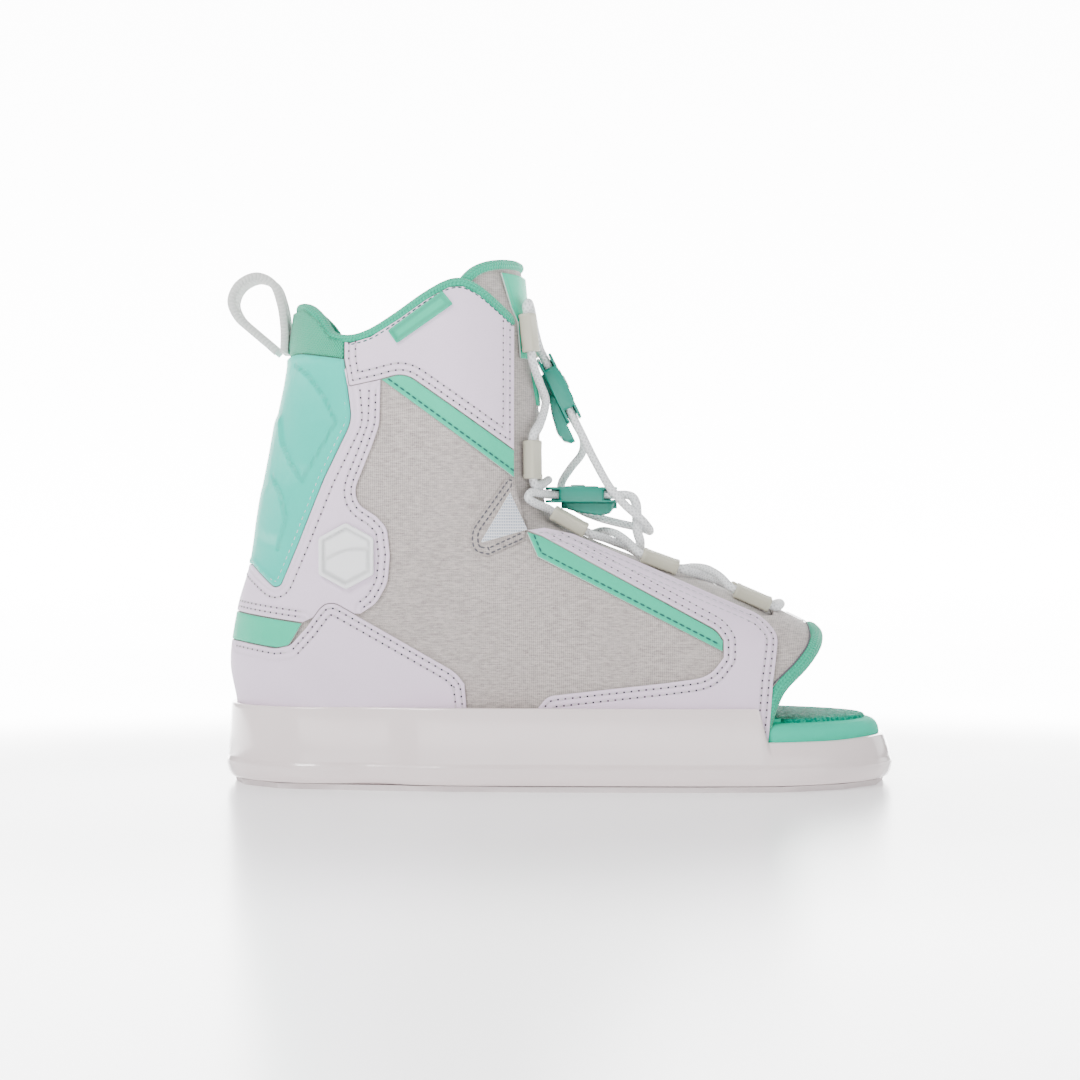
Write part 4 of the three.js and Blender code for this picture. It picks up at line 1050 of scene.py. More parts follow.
def catmull(points, per=8):
    """Centripetal Catmull-Rom spline through the points, sampled per times between each two."""
    p = np.asarray(points, float)
    p = np.concatenate([2 * p[:1] - p[1:2], p, 2 * p[-1:] - p[-2:-1]])
    gaps = np.maximum(np.sqrt(np.linalg.norm(np.diff(p, axis=0), axis=1)), 1e-4)[:, None]
    a, b, c = gaps[:-2], gaps[1:-1], gaps[2:]
    p0, p1, p2, p3 = p[:-3], p[1:-2], p[2:-1], p[3:]
    m1 = ((p1 - p0) / a - (p2 - p0) / (a + b) + (p2 - p1) / b) * b
    m2 = ((p2 - p1) / b - (p3 - p1) / (b + c) + (p3 - p2) / c) * b
    t = (np.arange(per) / per)[None, :, None]
    q0, q1, d0, d1 = p1[:, None], p2[:, None], m1[:, None], m2[:, None]
    curve = q0 + d0 * t + (3 * (q1 - q0) - 2 * d0 - d1) * t ** 2 + (2 * (q0 - q1) + d0 + d1) * t ** 3
    return np.concatenate([curve.reshape(-1, p.shape[1]), p2[-1:]])


def directions(path):
    d = np.gradient(path, axis=0)
    return d / np.maximum(np.linalg.norm(d, axis=1, keepdims=True), 1e-9)


def oval(across, deep, count=20, power=2.6):
    """Superellipse |a/across|^p + |b/deep|^p = 1 as (n, 2), anticlockwise."""
    angle = np.arange(count) * 2 * np.pi / count
    c, s = np.cos(angle), np.sin(angle)
    x = across * np.sign(c) * np.abs(c) ** (2 / power)
    y = deep * np.sign(s) * np.abs(s) ** (2 / power)
    return np.stack([x, y], 1)


def sweep(path, normal, section, deep=None, wide=None):
    """Rings of a cross-section (across, normal) along a path, with an optional size for each place."""
    along = directions(path)
    normal = normal - along * np.sum(normal * along, 1, keepdims=True)
    normal /= np.maximum(np.linalg.norm(normal, axis=1, keepdims=True), 1e-9)
    across = np.cross(along, normal)
    wide = np.ones(len(path)) if wide is None else wide
    deep = np.ones(len(path)) if deep is None else deep
    return (path[:, None] + across[:, None] * (section[None, :, :1] * wide[:, None, None])
            + normal[:, None] * (section[None, :, 1:] * deep[:, None, None]))


def round_ends(rings, keep=0.15):
    """The first and last three rings drawn in towards their middles, as on a rounded end."""
    rings = rings.copy()
    for order in (range(3), range(-1, -4, -1)):
        for size, i in zip((keep, 0.72, 0.93), order):
            rings[i] = rings[i].mean(0) + (rings[i] - rings[i].mean(0)) * size
    return rings


# %% [markdown]
# ### Rolled edges
# The collar, toe and tongue edges are padded rolls of knit. Each follows its side-view line on the surface at
# mid-depth; the collar's roll thins where the tongue lies under it.

# %%
def edge_roll(name, node, side_line, mid, deep, half_high, over_front=False, power=2.3, ripple=0.0):
    """A padded roll along a side-view line, on both sides and across the centre plane."""
    x, z = side_line[:, 0], side_line[:, 1]
    mid = mid(x, z) if callable(mid) else np.full(len(x), float(mid))
    deep = deep(x, z) if callable(deep) else np.full(len(x), float(deep))
    s = place(x, z, mid)
    end = np.argmax(s > 0.9999) if over_front and (s > 0.9999).any() else len(s) - 1
    if not over_front and (s < 1e-4).any():
        end = np.argmax(s < 1e-4)
    s, z, mid, deep = s[:end + 1], z[:end + 1], mid[:end + 1], deep[:end + 1]
    s[-1] = 1.0 if over_front else 0.0
    s_all = np.concatenate([-s, s[::-1][1:]])
    if over_front:
        s_all = np.concatenate([-s, -(2 - s[::-1][1:])])
    z_all = np.concatenate([z, z[::-1][1:]])
    mid_all, deep_all = np.concatenate([mid, mid[::-1][1:]]), np.concatenate([deep, deep[::-1][1:]])
    path = surface(s_all, z_all, mid_all)
    out = normals(s_all, z_all, mid_all)
    length = np.concatenate([[0], np.cumsum(np.linalg.norm(np.diff(path, axis=0), axis=1))])
    at = np.linspace(0, length[-1], max(24, int(length[-1] / 1.6)))
    path = np.stack([np.interp(at, length, path[:, k]) for k in range(3)], 1)
    out = np.stack([np.interp(at, length, out[:, k]) for k in range(3)], 1)
    depth = np.interp(at, length, deep_all) * (1 + ripple * np.sin(at * 0.5))
    for _ in range(3):
        path[1:-1] = (path[:-2] + 2 * path[1:-1] + path[2:]) / 4
    rings = round_ends(sweep(path, out, oval(half_high, 1.0, 22, power), deep=depth))
    return put(name, *loft(rings, True, True, True), "knit", [node], "knit_fabric")


collar_line = catmull(np.array(collar_top[::-1], float) - (0, 2.1), 8)
collar = edge_roll(
    "collar_roll", "collar_binding", collar_line,
    lambda x, z: 2.7 - 2.4 * smooth_step((x + 52) / 9),
    lambda x, z: 3.6 - 2.3 * smooth_step((x + 52) / 9), 2.5)
toe_line = catmull(np.array(toe_edge[::-1], float) - (3.3, 0), 8)
toe_roll = edge_roll("toe_roll", "toe_binding", toe_line, 2.6, 4.1, 3.7, over_front=True, power=2.1)
tongue_line = catmull(np.array(tongue_top, float) - (0, 2.1), 8)
tongue_roll = edge_roll("tongue_roll", "tongue_binding", tongue_line, 3.9, 3.3, 2.4, over_front=True)
for roll in (collar, toe_roll, tongue_roll):
    print(roll.name, len(roll.data.vertices))

# %% [markdown]
# ### Liner, tongue, heel tab and finger tab
# The liner is a 5 mm padded shell. The tongue swells between its seams: height = h (1 - exp(-d / reach)).

# %%
liner = panel("liner_pad", [["liner_left", "liner_right"]], shapes["liner"],
              [above_collar, shapes["tongue"], beyond_toe], 1.9, 4.4, "lining", spacing=6.0,
              edge_round=1.2, joined=True)[0]
above_tongue = outline(
    [(x, z - 2.5) for x, z in tongue_top] + [(60, 231.5), (60, 260), (-70, 260), (-70, 218)])


def tongue_swell(x, z, points):
    border = border_distance(x, z, shapes["tongue"])
    return 1.3 * (1 - np.exp(-border / 9)) - 0.6 + 0.35 * np.sin(z * 0.16) * smooth_step((border - 4) / 10)


tongue = panel("tongue_pad", ["tongue"], shapes["tongue"], [above_tongue], 2.1, 4.3, "tongue_cloth",
               spacing=3.6, edge_round=1.6, lift=tongue_swell, joined=True)[0]
panel("tongue_strip_sheet", ["tongue_strip"], shapes["strip"], [above_tongue], 0.4, 0.9, "mint",
      spacing=2.0, joined=True, edge_round=0.3,
      seams=[np.array([(-25, 224), (-21, 211), (-18.2, 205), (-17, 190)])])


def tab_swell(x, z, points):
    border = border_distance(x, z, shapes["tab"])
    return 0.9 * smooth_step(border / 5)


panel("heel_tab_knit", ["heel_tab"], shapes["tab"], [above_collar, grown["cuff"], grown["shell"]], -0.9, 1.4,
      "honeycomb", spacing=2.2, lift=tab_swell, edge_round=0.5, joined=True)


def band_patch(name, node, z_low, z_high, half_y, inset, thick, paint, slot):
    """A flat tab over the front: its half-breadth is kept, so it is a strip across the centre plane."""
    z = np.linspace(z_low, z_high, 14)
    v = np.linspace(-1, 1, 13)
    zz, vv = np.meshgrid(z, v, indexing="ij")
    probe = np.linspace(0.55, 1.0, 240)
    y = surface(-probe[None], z[:, None], inset)
    s = np.stack([np.interp(np.abs(v) * half_y, -y[i, ::-1, 1], probe[::-1]) for i in range(len(z))])
    s = np.where(vv < 0, -s, -(2 - s))
    top = surface(s, zz, inset)
    out = normals(s, zz, inset)
    edge = np.minimum(np.minimum(vv + 1, 1 - vv) * half_y, np.minimum(zz - z_low, z_high - zz))
    top = top + out * (0.25 * smooth_step(edge / 1.2) - 0.25)[..., None]
    under = top - out * thick
    rings = np.concatenate([top, under[:, ::-1]], 1)
    return put(name, *loft(rings, True, True, True), paint, [node] if node else (), slot, smooth=60)


band_patch("finger_tab", "tongue_tab", 169, 187, 8.8, -0.1, 1.4, "mint", "mint_panel")
print("soft pieces", [n for n in made if "pad" in n or "tab" in n])


def plain_row(name, side_line, inset, thread_paint, pitch, length, thick):
    """One row of stitches along a side-view line as it is, on both sides."""
    spots, along, normal = row_frames(resample(np.asarray(side_line, float), 0.5), inset, pitch)
    base, faces = capsule(length, thick, 0.45)
    one = instances(base, faces, spots, along, normal)
    points = np.concatenate([one[0], one[0] * (1, -1, 1)])
    faces = np.concatenate([one[1], one[1][:, ::-1] + len(one[0])])
    thing = write_mesh(name, points, [faces], (thread_paint,), smooth=80)
    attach(thing, "boot")
    return thing


low_collar = catmull(np.array([p for p in collar_top if p[0] > -95], float) - (0, 4.4), 8)
plain_row("stitch_collar", low_collar, -1.35, "teal_thread", 2.8, 2.3, 0.6)
behind_toe = catmull(np.array(toe_edge[::-1], float) - (7.1, 0), 8)
behind_toe = behind_toe[(behind_toe[:, 1] > 34) & (behind_toe[:, 1] < 76)]
plain_row("seam_toe", behind_toe, -0.2, "grey_thread", 1.5, 1.8, 0.8)
print("rows", [n for n in made if n.startswith("stitch_") or n.startswith("seam_")])

# %% [markdown]
# ## Hardware materials
# Moulded plastics with a slow cloud of shade and a fine mould texture; foam, pebbled grip, webbing and braid.

# %%
def plastic(name, colour, rough=0.35, grain=0.01, coat=0.0, cloud_size=0.03, depth=0.08):
    p = Paint(name)
    cloud = p.place.noise(cloud_size, 3.0)
    fine = p.place.noise(2.4, 3.0)
    scuff = p.place.stretch(0.08, 0.4, 1.2).noise(1.0, 4.0, 0.7).ramp(0.6, 0.85)
    low = tuple(v * (1 - depth) for v in linear(*colour)[:3]) + (1,)
    shade = (cloud * 0.8 + fine * 0.2).mix(low, linear(*colour))
    return p.finish(shade, rough + fine * 0.05 + scuff * 0.07, fine * grain + cloud * 0.1, Coat_Weight=coat,
                    Coat_Roughness=0.08)


def foam(name, colour, pebble=0.0, dark=0.55, shine=0.3):
    """Closed-cell foam: fine pits, or a coarse pebble pressed into it."""
    p = Paint(name)
    cells = p.place.cells(0.75, "SMOOTH_F1").ramp(0.15, 0.75)
    pits = p.place.noise(2.2, 4.0, 0.65)
    cloud = p.place.noise(0.05, 2.0)
    level = 0.9 + cloud * 0.12 - pits * 0.06 - cells * (0.55 * pebble)
    shade = level.mix(tuple(v * dark * 0.4 for v in linear(*colour)[:3]) + (1,), linear(*colour))
    return p.finish(shade, 0.72 + pits * 0.12, pits * 0.06 - cells * (0.9 * pebble) + cloud * 0.15,
                    Specular_IOR_Level=shine)


def braid(name, colour):
    """Two sets of yarns cross round the cord: height = max of two opposed slanted waves."""
    p = Paint(name)
    along, around, _ = p.attribute("lay", "Vector").parts()
    turn = around * (2 * math.pi / 1.98)
    one = (along * 2.9 + turn).sin()
    two = (along * 2.9 - turn).sin()
    weave = one.math("MAXIMUM", two) * 0.5 + 0.5
    fuzz = p.place.noise(3.0, 2.0)
    level = 0.5 + weave * 0.5 + fuzz * 0.06
    shade = level.mix(linear(128, 134, 138), linear(*colour))
    return p.finish(shade, 0.7 + fuzz * 0.1, weave * 0.22, Sheen_Weight=0.15)


def webbing(name, colour, pitch=1.7):
    """Ribbed tape: chevron ribs along the strap and plain cord edges."""
    p = Paint(name)
    along = p.attribute("lay", "Vector").parts()[0]
    zig = abs((p.y * 0.9).sin()) * 0.5
    rib = ((along / pitch + zig) * (2 * math.pi)).sin() * 0.5 + 0.5
    fine = (p.y * 5.2).sin() * 0.5 + 0.5
    fuzz = p.place.noise(2.2, 3.0)
    level = 0.7 + rib * 0.22 + fine * 0.06 + fuzz * 0.06
    shade = level.mix(linear(140, 142, 140), linear(*colour))
    return p.finish(shade, 0.78 + fuzz * 0.1, rib * 0.28 + fine * 0.08, Sheen_Weight=0.2)


def brushed(name, colour):
    p = Paint(name)
    lines = p.place.stretch(0.2, 5.0, 5.0).noise(1.0, 3.0)
    shade = lines.mix(tuple(v * 0.75 for v in linear(*colour)[:3]) + (1,), linear(*colour))
    return p.finish(shade, lines * 0.2 + 0.25, lines * 0.02, Metallic=1.0)


paints.update({
    "base": plastic("base_plastic", (248, 233, 232), 0.16, 0.004, coat=0.7),
    "pad": foam("bottom_foam", (232, 222, 222)),
    "foam": foam("footbed_foam", (10, 208, 172)),
    "grip": foam("grip_foam", (0, 176, 144), shine=0.08, pebble=1.0),
    "guide": plastic("guide_webbing", (193, 190, 172), 0.55, 0.05),
    "lock": plastic("lock_plastic", (0, 138, 118), 0.34, 0.012, coat=0.1, depth=0.16),
    "braid": braid("lace_braid", (238, 240, 241)),
    "webbing": webbing("loop_webbing", (216, 217, 214)),
    "plate": brushed("plate_metal", (158, 160, 162)),
})
print("hardware materials", len(paints))

# %% [markdown]
# ## Laces
# Each lace is one cord whose two ends meet at the bottom of its pull tail; its points are the CAD route's.

# %%
UPPER_LACE = np.array([
    [40.6, 3, 112.4], [40.8, -2.6, 112.4], [39.8, -8.6, 114], [36.8, -11.8, 117.4], [29.6, -11.8, 123.7],
    [22.8, -11.2, 131.5], [17, -8, 141.6], [12.6, -4.9, 150.4], [10.9, -4.5, 154], [6.95, -4.5, 162],
    [-0.2, -4.5, 176.6], [-7.35, -4.5, 191.2], [-8.8, -4.8, 194.3], [-10.9, -8.5, 201.5], [-12.5, -13, 210],
    [-13.8, -16.6, 214], [-14.8, -20.1, 212.2], [-14.42, -20.24, 208.73], [-13.58, -20.24, 200.27],
    [-12.74, -20.24, 191.81], [-12.2, -19.8, 188], [-9, -14, 178.5], [-6.3, -9.8, 171], [-8.6, -15, 161.5],
    [-11.6, -21.8, 155.6], [-12.22, -23.04, 152.53], [-12.04, -23.04, 144.03], [-11.86, -23.04, 135.54],
    [-11.2, -21.6, 132.9], [-8.8, -15.5, 132.9], [-6, -8, 134.7], [-5, 0, 135.5],
    [-6, 8, 134.7], [-8.8, 15.5, 132.9], [-11.2, 21.6, 132.9], [-11.86, 23.04, 135.54],
    [-12.04, 23.04, 144.03], [-12.22, 23.04, 152.53], [-11.6, 21.8, 155.6], [-8.6, 15, 161.5],
    [-6.3, 9.8, 171], [-9, 14, 178.5], [-12.2, 19.8, 188], [-12.74, 20.24, 191.81], [-13.58, 20.24, 200.27],
    [-14.42, 20.24, 208.73], [-14.8, 20.1, 212.2], [-13.8, 16.6, 214], [-12.5, 13, 210], [-10.9, 8.5, 201.5],
    [-8.8, 4.8, 194.3], [-7.35, 4.5, 191.2], [-0.2, 4.5, 176.6], [6.95, 4.5, 162], [10.9, 4.5, 154],
    [10.4, 7.4, 148], [5, 11, 140.8], [1, 12.8, 134], [1.2, 13.2, 129], [7, 13.4, 123.4], [17, 13.5, 118.8],
    [28, 13.4, 115.8], [36.6, 11.6, 113.9], [39.7, 7.2, 112.8], [40.5, 3.4, 112.4]])
LOWER_LACE = np.array([
    [36.5, -0.3, 103.6], [36.5, -4, 104.2], [36.4, -6.8, 107.8], [35, -7.2, 113], [35, -7.3, 120],
    [34.6, -7.2, 124.6], [33, -5.4, 127.7], [30.3, -4.5, 128.7], [25, -4.5, 128.7], [9.8, -4.5, 128.7],
    [-1, -4.5, 128.7],
    [-4.2, -6.6, 128.8], [-6.4, -12, 129], [-9.2, -19, 129.3], [-12.8, -25.6, 129.4], [-14, -27.6, 127.2],
    [-11.4, -24.4, 125], [-5.6, -16.4, 122.6], [-3.02, -15.15, 121.07], [4.29, -15.15, 116.72],
    [11.59, -15.15, 112.37], [14.6, -14, 110.8], [19.5, -8, 109.4], [25.3, 0, 107.2], [31, 8, 105],
    [35, 14.6, 102.8], [36.7, 15.96, 101.98], [44.67, 15.96, 99.04], [52.65, 15.96, 96.1], [55.6, 14.8, 95.3],
    [61, 8, 95.9], [66.5, 0, 95.3], [72, -8, 92], [76.2, -14.8, 87.4], [78, -15.95, 86.43],
    [85.76, -15.95, 82.96], [93.51, -15.95, 79.48], [96.6, -14.6, 78.6], [99, -8.6, 79.4], [99.7, 0, 79.9],
    [99, 8.6, 79.4], [96.6, 14.6, 78.6], [93.51, 15.95, 79.48], [85.76, 15.95, 82.96], [78, 15.95, 86.43],
    [76, 14.8, 87.4], [72, 8, 89.6], [66.5, 0, 91.4], [61, -8, 93.4], [55.6, -14.8, 94.9],
    [52.65, -15.96, 96.1], [44.67, -15.96, 99.04], [36.7, -15.96, 101.98], [35, -14.8, 103], [31, -8, 107.2],
    [25.3, 0, 111.3], [19.5, 8, 112.4], [14.6, 14.2, 111.2], [11.59, 15.15, 112.37], [4.29, 15.15, 116.72],
    [-3.02, 15.15, 121.07], [-5.6, 16.4, 122.6], [-11.4, 24.4, 125], [-14, 27.6, 127.2],
    [-12.8, 25.6, 129.4], [-9.2, 19, 129.3], [-6.4, 12, 129], [-4.2, 6.6, 128.8], [-1, 4.5, 128.7],
    [9.8, 4.5, 128.7], [25, 4.5, 128.7], [30.3, 4.5, 128.7], [33, 5.4, 127.7], [34.6, 7.2, 124.6],
    [35, 7.3, 120], [35, 7.2, 113], [36.4, 6.8, 107.8], [36.5, 4, 104.2], [36.5, 0.3, 103.6]])


def steady_normals(path):
    """Normals that turn no more than the path does, carried from each point to the next."""
    along = directions(path)
    normal = np.cross(along[0], (0.3, 0.2, 1.0))
    out = []
    for t in along:
        normal = normal - t * np.dot(normal, t)
        normal = normal / np.linalg.norm(normal)
        out.append(normal)
    return np.array(out)


def lace(name, points, node):
    path = catmull(points, 6)
    rings = sweep(path, steady_normals(path), oval(1.88, 1.88, 14, 2.0))
    thing = put(name, *loft(rings, True, True, True), "braid", [node], "lace_cord", smooth=70)
    return thing


lace("lace_upper_cord", UPPER_LACE, "lace_upper")
lace("lace_lower_cord", LOWER_LACE, "lace_lower")
print("laces done")

# %% [markdown]
# ## Lace guides
# A flat tube of coated webbing with a round bore: superellipse outside, circle inside, rounded lips.

# %%
GUIDES = [("collar", True, 200, 19, 3), ("shin", True, 144, 22, 1.9), ("ankle", False, 3, 14.5, 2.6),
          ("instep", False, 44, 15.5, 2), ("toe", False, 85, 15.5, 1.9)]


def cad_half(x, z):
    """Half-breadth at a side-view place."""
    back = edge_x(HEEL_LINE, z, 0, -1)
    front = edge_x(FRONT_LINE, z, 0, 1)
    front_round = 70 + (42 - 70) * smooth_step((z - 100) / 30)
    b = 1 - np.clip((x - back) / 44, 0, 1)
    f = 1 - np.clip((front - x) / front_round, 0, 1)
    return half_width(x, z) * np.sqrt(1 - b * b) * np.sqrt(1 - f * f)


def guide_rings():
    section = oval(4.2, 3.1, 32, 5)
    bore = oval(2.25, 2.25, 32, 2)
    stations = [(-7.2, 0, 1), (-8.2, 0.05, 1), (-8.5, 0.45, 1), (-8.3, 0.9, 1), (-7.6, 1, 1),
                (-6.8, 1.0, 1.0),
                (-6.5, 1, 0.955), (0, 1, 0.965), (6.5, 1, 0.955), (6.8, 1, 1), (7.6, 1, 1), (8.3, 0.9, 1),
                (8.5, 0.45, 1), (8.2, 0.05, 1), (7.2, 0, 1), (-7.2, 0, 1)]
    rings = []
    for x, k, size in stations:
        ring = bore * (1 - k) + section * k * size
        rings.append(np.concatenate([np.full((32, 1), x), ring], 1))
    return np.array(rings)


local = guide_rings()
for key, shaft, at, breadth, out_by in GUIDES:
    box_low, box_high = (np.array(v) * 1000 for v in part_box(f"lace_guide_{key}_left"))
    centre = (box_low + box_high) / 2
    step = 8.5

    def on_surface(t, shaft=shaft, breadth=breadth):
        first, last = (-60, float(edge_x(FRONT_LINE, t, 0, 1))) if shaft else (60, 130)
        grid = np.linspace(first, last, 4000)
        half = cad_half(grid, t) if shaft else cad_half(t, grid)
        i = np.nonzero(half > breadth)[0].max()
        return np.array([grid[i], breadth, t] if shaft else [t, breadth, grid[i]], float)

    ahead, behind, here = on_surface(at - step if shaft else at + step), \
        on_surface(at + step if shaft else at - step), on_surface(at)
    axis = (ahead - behind) / np.linalg.norm(ahead - behind)
    x, z = here[0], here[2]
    normal = np.array([float(cad_half(x - 0.5, z) - cad_half(x + 0.5, z)), 1.0,
                       float(cad_half(x, z - 0.5) - cad_half(x, z + 0.5))])
    across = np.cross(normal, axis)
    across /= np.linalg.norm(across)
    up = np.cross(axis, across)
    for side, sign in (("left", -1), ("right", 1)):
        place_at = centre * (1, -sign, 1)
        frame_axes = np.stack([axis * (1, sign, 1), across * (1, sign, 1), up * (1, sign, 1)])
        points, polygons, lays = loft(local @ frame_axes + place_at, True)
        flip = np.linalg.det(frame_axes) < 0
        if flip:
            polygons = [p[:, ::-1] for p in polygons]
            lays = [q[:, ::-1] for q in lays]
        put(f"guide_{key}_{side}", points, [p[:, ::-1] for p in polygons], [q[:, ::-1] for q in lays],
            "guide",
            [f"lace_guide_{key}_{side}"], "guide_webbing", smooth=40)
print("guides", sum(1 for n in made if n.startswith("guide")))

# %% [markdown]
# ## Cord locks
# In a lock's own frame x runs along the lace and z away from the foot. Top and bottom plates reach past the
# middle block as forks, and the catch below is a leaf with chevron ribs that slides on a rail.

# %%
LOCKS = [
    ("upper", (-0.2, 0, 176.6), (0.44, 0, -0.898), 0.7),
    ("lower", (9.8, 0, 128.7), (1, 0, 0), -9),
]


def rounded_outline(half_long, half_wide, corner, count=6):
    """Plan of a plate: a rectangle with round corners, anticlockwise."""
    out = []
    for cx, cy, start in ((1, 1, 0), (-1, 1, 90), (-1, -1, 180), (1, -1, 270)):
        t = np.radians(start + np.linspace(0, 90, count))
        out.append(np.stack([cx * (half_long - corner) + corner * np.cos(t),
                             cy * (half_wide - corner) + corner * np.sin(t)], 1))
    return np.concatenate(out)


def plate(x_mid, half_long, half_wide, z_low, z_high, corner, edge=0.35, crown=0.0):
    """A rounded plate as a loft of its plan, from the bottom up, with softened edges."""
    plan = rounded_outline(half_long, half_wide, corner)
    rings = []
    for z, pull in ((z_low, edge * 2.2), (z_low, edge), (z_low + edge * 0.3, edge * 0.3), (z_low + edge, 0),
                    (z_high - edge, 0), (z_high - edge * 0.3, edge * 0.3), (z_high, edge),
                    (z_high + crown * 0.5, edge * 3), (z_high + crown, half_wide * 0.6)):
        size = np.array([(half_long - pull) / half_long, (half_wide - pull) / half_wide])
        ring = plan * size
        rings.append(np.concatenate([ring + (x_mid, 0), np.full((len(ring), 1), z)], 1))
    return loft(rings, True, True, True)


def lock_parts():
    """Plates, middle block, side walls of the bores, a low thumb bump and the rail."""
    parts = [
        plate(0, 16.1, 8.4, 2.3, 3.5, 2.6),
        plate(0, 16.1, 8.4, -3.5, -2.3, 2.6),
        plate(0, 10.2, 8.5, -3.3, 3.3, 1.6),
        plate(0, 7.6, 8.2, -3.6, 3.9, 1.8, crown=0.15),
        plate(-1.5, 3.2, 3.0, 3.6, 4.6, 1.4),
        plate(0, 13.5, 0.9, -2.6, 2.6, 0.5, 0.2),
        plate(3.6, 12.6, 1.5, -5.1, -3.2, 0.4, 0.15),
        plate(3.6, 12.6, 2.7, -6.2, -5.0, 0.6, 0.2),
    ]
    return gather(parts)


def catch_parts():
    """The leaf: its lower face follows the drawn profile with a chevron ridge every 3 mm, x + |y| / 2."""
    profile = np.array([(0, -5.6), (8, -8.2), (17, -9.8), (22, -8.6), (24, -6.2)])
    x = np.linspace(0.1, 23.9, 60)
    bottom = np.interp(x, profile[:, 0], profile[:, 1])
    for _ in range(6):
        bottom[1:-1] = (bottom[:-2] + 2 * bottom[1:-1] + bottom[2:]) / 4
    half = 4.8 * np.sqrt(np.clip(1 - np.abs((x - 12) / 12.6) ** 5, 0.05, 1))
    v = np.linspace(-1, 1, 21)
    y = half[:, None] * v[None]
    ridge = np.abs(np.sin((x[:, None] + np.abs(y) * 0.5) * np.pi / 3.0))
    edge = 1 - np.abs(v[None]) ** 6
    low = bottom[:, None] + (1 - edge) * 0.9 + (1 - ridge) * 0.55 * edge
    under = np.stack([np.broadcast_to(x[:, None], y.shape), y, low], -1)
    top = np.stack([np.broadcast_to(x[:, None], y.shape), y, np.full(y.shape, -3.85)], -1)
    rings = np.concatenate([under, top[:, ::-1]], 1)
    return loft(rings, True, True, True)


def set_in(parts, centre, along, shift=0.0):
    """The parts moved from a lock's frame to their place on the boot."""
    points, polygons, lays = parts
    a = np.array(along, float)
    a /= np.linalg.norm(a)
    up = np.array([-a[2], 0, a[0]])
    turn = np.stack([a, (0, 1, 0), up])
    return (points + (shift, 0, 0)) @ turn + np.array(centre, float), polygons, lays


for key, centre, along, catch_at in LOCKS:
    put(f"lock_{key}_body", *set_in(lock_parts(), centre, along), "lock", [f"cord_lock_{key}"],
        "lock_plastic",
        f"{key}_lock", smooth=45)
    put(f"lock_{key}_leaf", *set_in(catch_parts(), centre, along, catch_at), "lock", [f"lock_catch_{key}"],
        "lock_plastic", f"{key}_catch", smooth=40)
print("locks", [n for n in made if n.startswith("lock_")])

# %% [markdown]
# ## Heel pull loop
# Ribbed tape swept along the CAD loop's line, with thicker corded edges.

# %%
LOOP_LINE = [
    (-126.7, 192.6), (-130.2, 195.8), (-138, 202.4), (-144.5, 208.5), (-147.2, 215.5), (-143.8, 223),
    (-136, 226.6), (-128.8, 223.5), (-125.2, 215), (-123.4, 203), (-123.5, 192.2)]
loop_path = catmull(np.array([(x, 0, z) for x, z in LOOP_LINE], float), 8)
tape_y = np.linspace(-1, 1, 25)
tape = np.concatenate([
    np.stack([tape_y * 9.9, -1.45 - 0.35 * np.exp(-((np.abs(tape_y) - 0.9) / 0.08) ** 2)], 1),
    np.stack([tape_y[::-1] * 9.9, 1.45 + 0.35 * np.exp(-((np.abs(tape_y[::-1]) - 0.9) / 0.08) ** 2)], 1)])
tape[[0, 24, 25, 49], 1] *= 0.5
loop_along = directions(loop_path)
loop_normal = np.cross((0.0, 1.0, 0.0), loop_along)
loop_rings = sweep(loop_path, loop_normal, tape)
put("pull_loop_tape", *loft(loop_rings, True, True, True), "webbing", ["pull_loop"], "loop_webbing",
    "heel_loop", smooth=60)
print("loop", made["pull_loop_tape"].dimensions)

# %% [markdown]
# ## Base, footbed and grip
# The base is a stack of rings of one plan, y = B(x) sqrt(1 - b^2) sqrt(1 - f^2), whose upper rings follow the
# wall's own top: high round the upper, low round the toe. The rim turns in to meet the upper.

# %%
BASE_WIDTH = np.array([(-150, 42), (-85, 43.5), (-50, 51), (0, 53), (60, 54.5), (150, 52)], float)
WALL_TOP, TRAY_TOP, TRAY_BACK = 36, 21.5, 90.6


def base_breadth(x, inset):
    b = 1 - np.clip((x + 150 - inset) / 46, 0, 1)
    f = 1 - np.clip((150 - inset - x) / 64, 0, 1)
    return (smooth_table(BASE_WIDTH, x) - inset) * np.sqrt(np.maximum(1 - b * b, 0)) \
        * np.sqrt(np.maximum(1 - f * f, 0))


def plan_shares():
    """Places along the plan, close together at both ends and where the wall steps down."""
    even = (1 - np.cos(np.linspace(0, np.pi, 70))) / 2
    step = (np.linspace(83, 95, 26) + 150) / 300
    return np.unique(np.concatenate([even, step]).round(6))


def plan_ring(inset_at, height_at, inner=None):
    """One ring of the plan; insets and heights are functions of x, and inner may give another breadth."""
    share = plan_shares()
    x0 = -150 + 300 * share
    inset_ends = np.array([inset_at(np.array([-150.0]))[0], inset_at(np.array([150.0]))[0]])
    x = (-150 + inset_ends[0]) + (300 - inset_ends.sum()) * share
    y = base_breadth(x, inset_at(x)) if inner is None else inner(x)
    y[0] = y[-1] = 0
    z = height_at(x0)
    left = np.stack([x, -y, z], 1)
    right = np.stack([x, y, z], 1)[1:-1][::-1]
    return np.concatenate([left, right])


def wall_top(x):
    """Height of the wall: it steps down in a rounded shoulder in front of the upper."""
    step = smooth_step((x - TRAY_BACK + 3.2) / 5.2)
    return WALL_TOP + (TRAY_TOP - WALL_TOP) * step + 0.8 * smooth_step((x - 120) / 30)


def lean(x):
    """How far the wall's top leans in: less at the heel, where the upper fills the base."""
    return 4.4 - 2.3 * smooth_step((-95 - x) / 45) - 0.6 * smooth_step((x - 84) / 8)


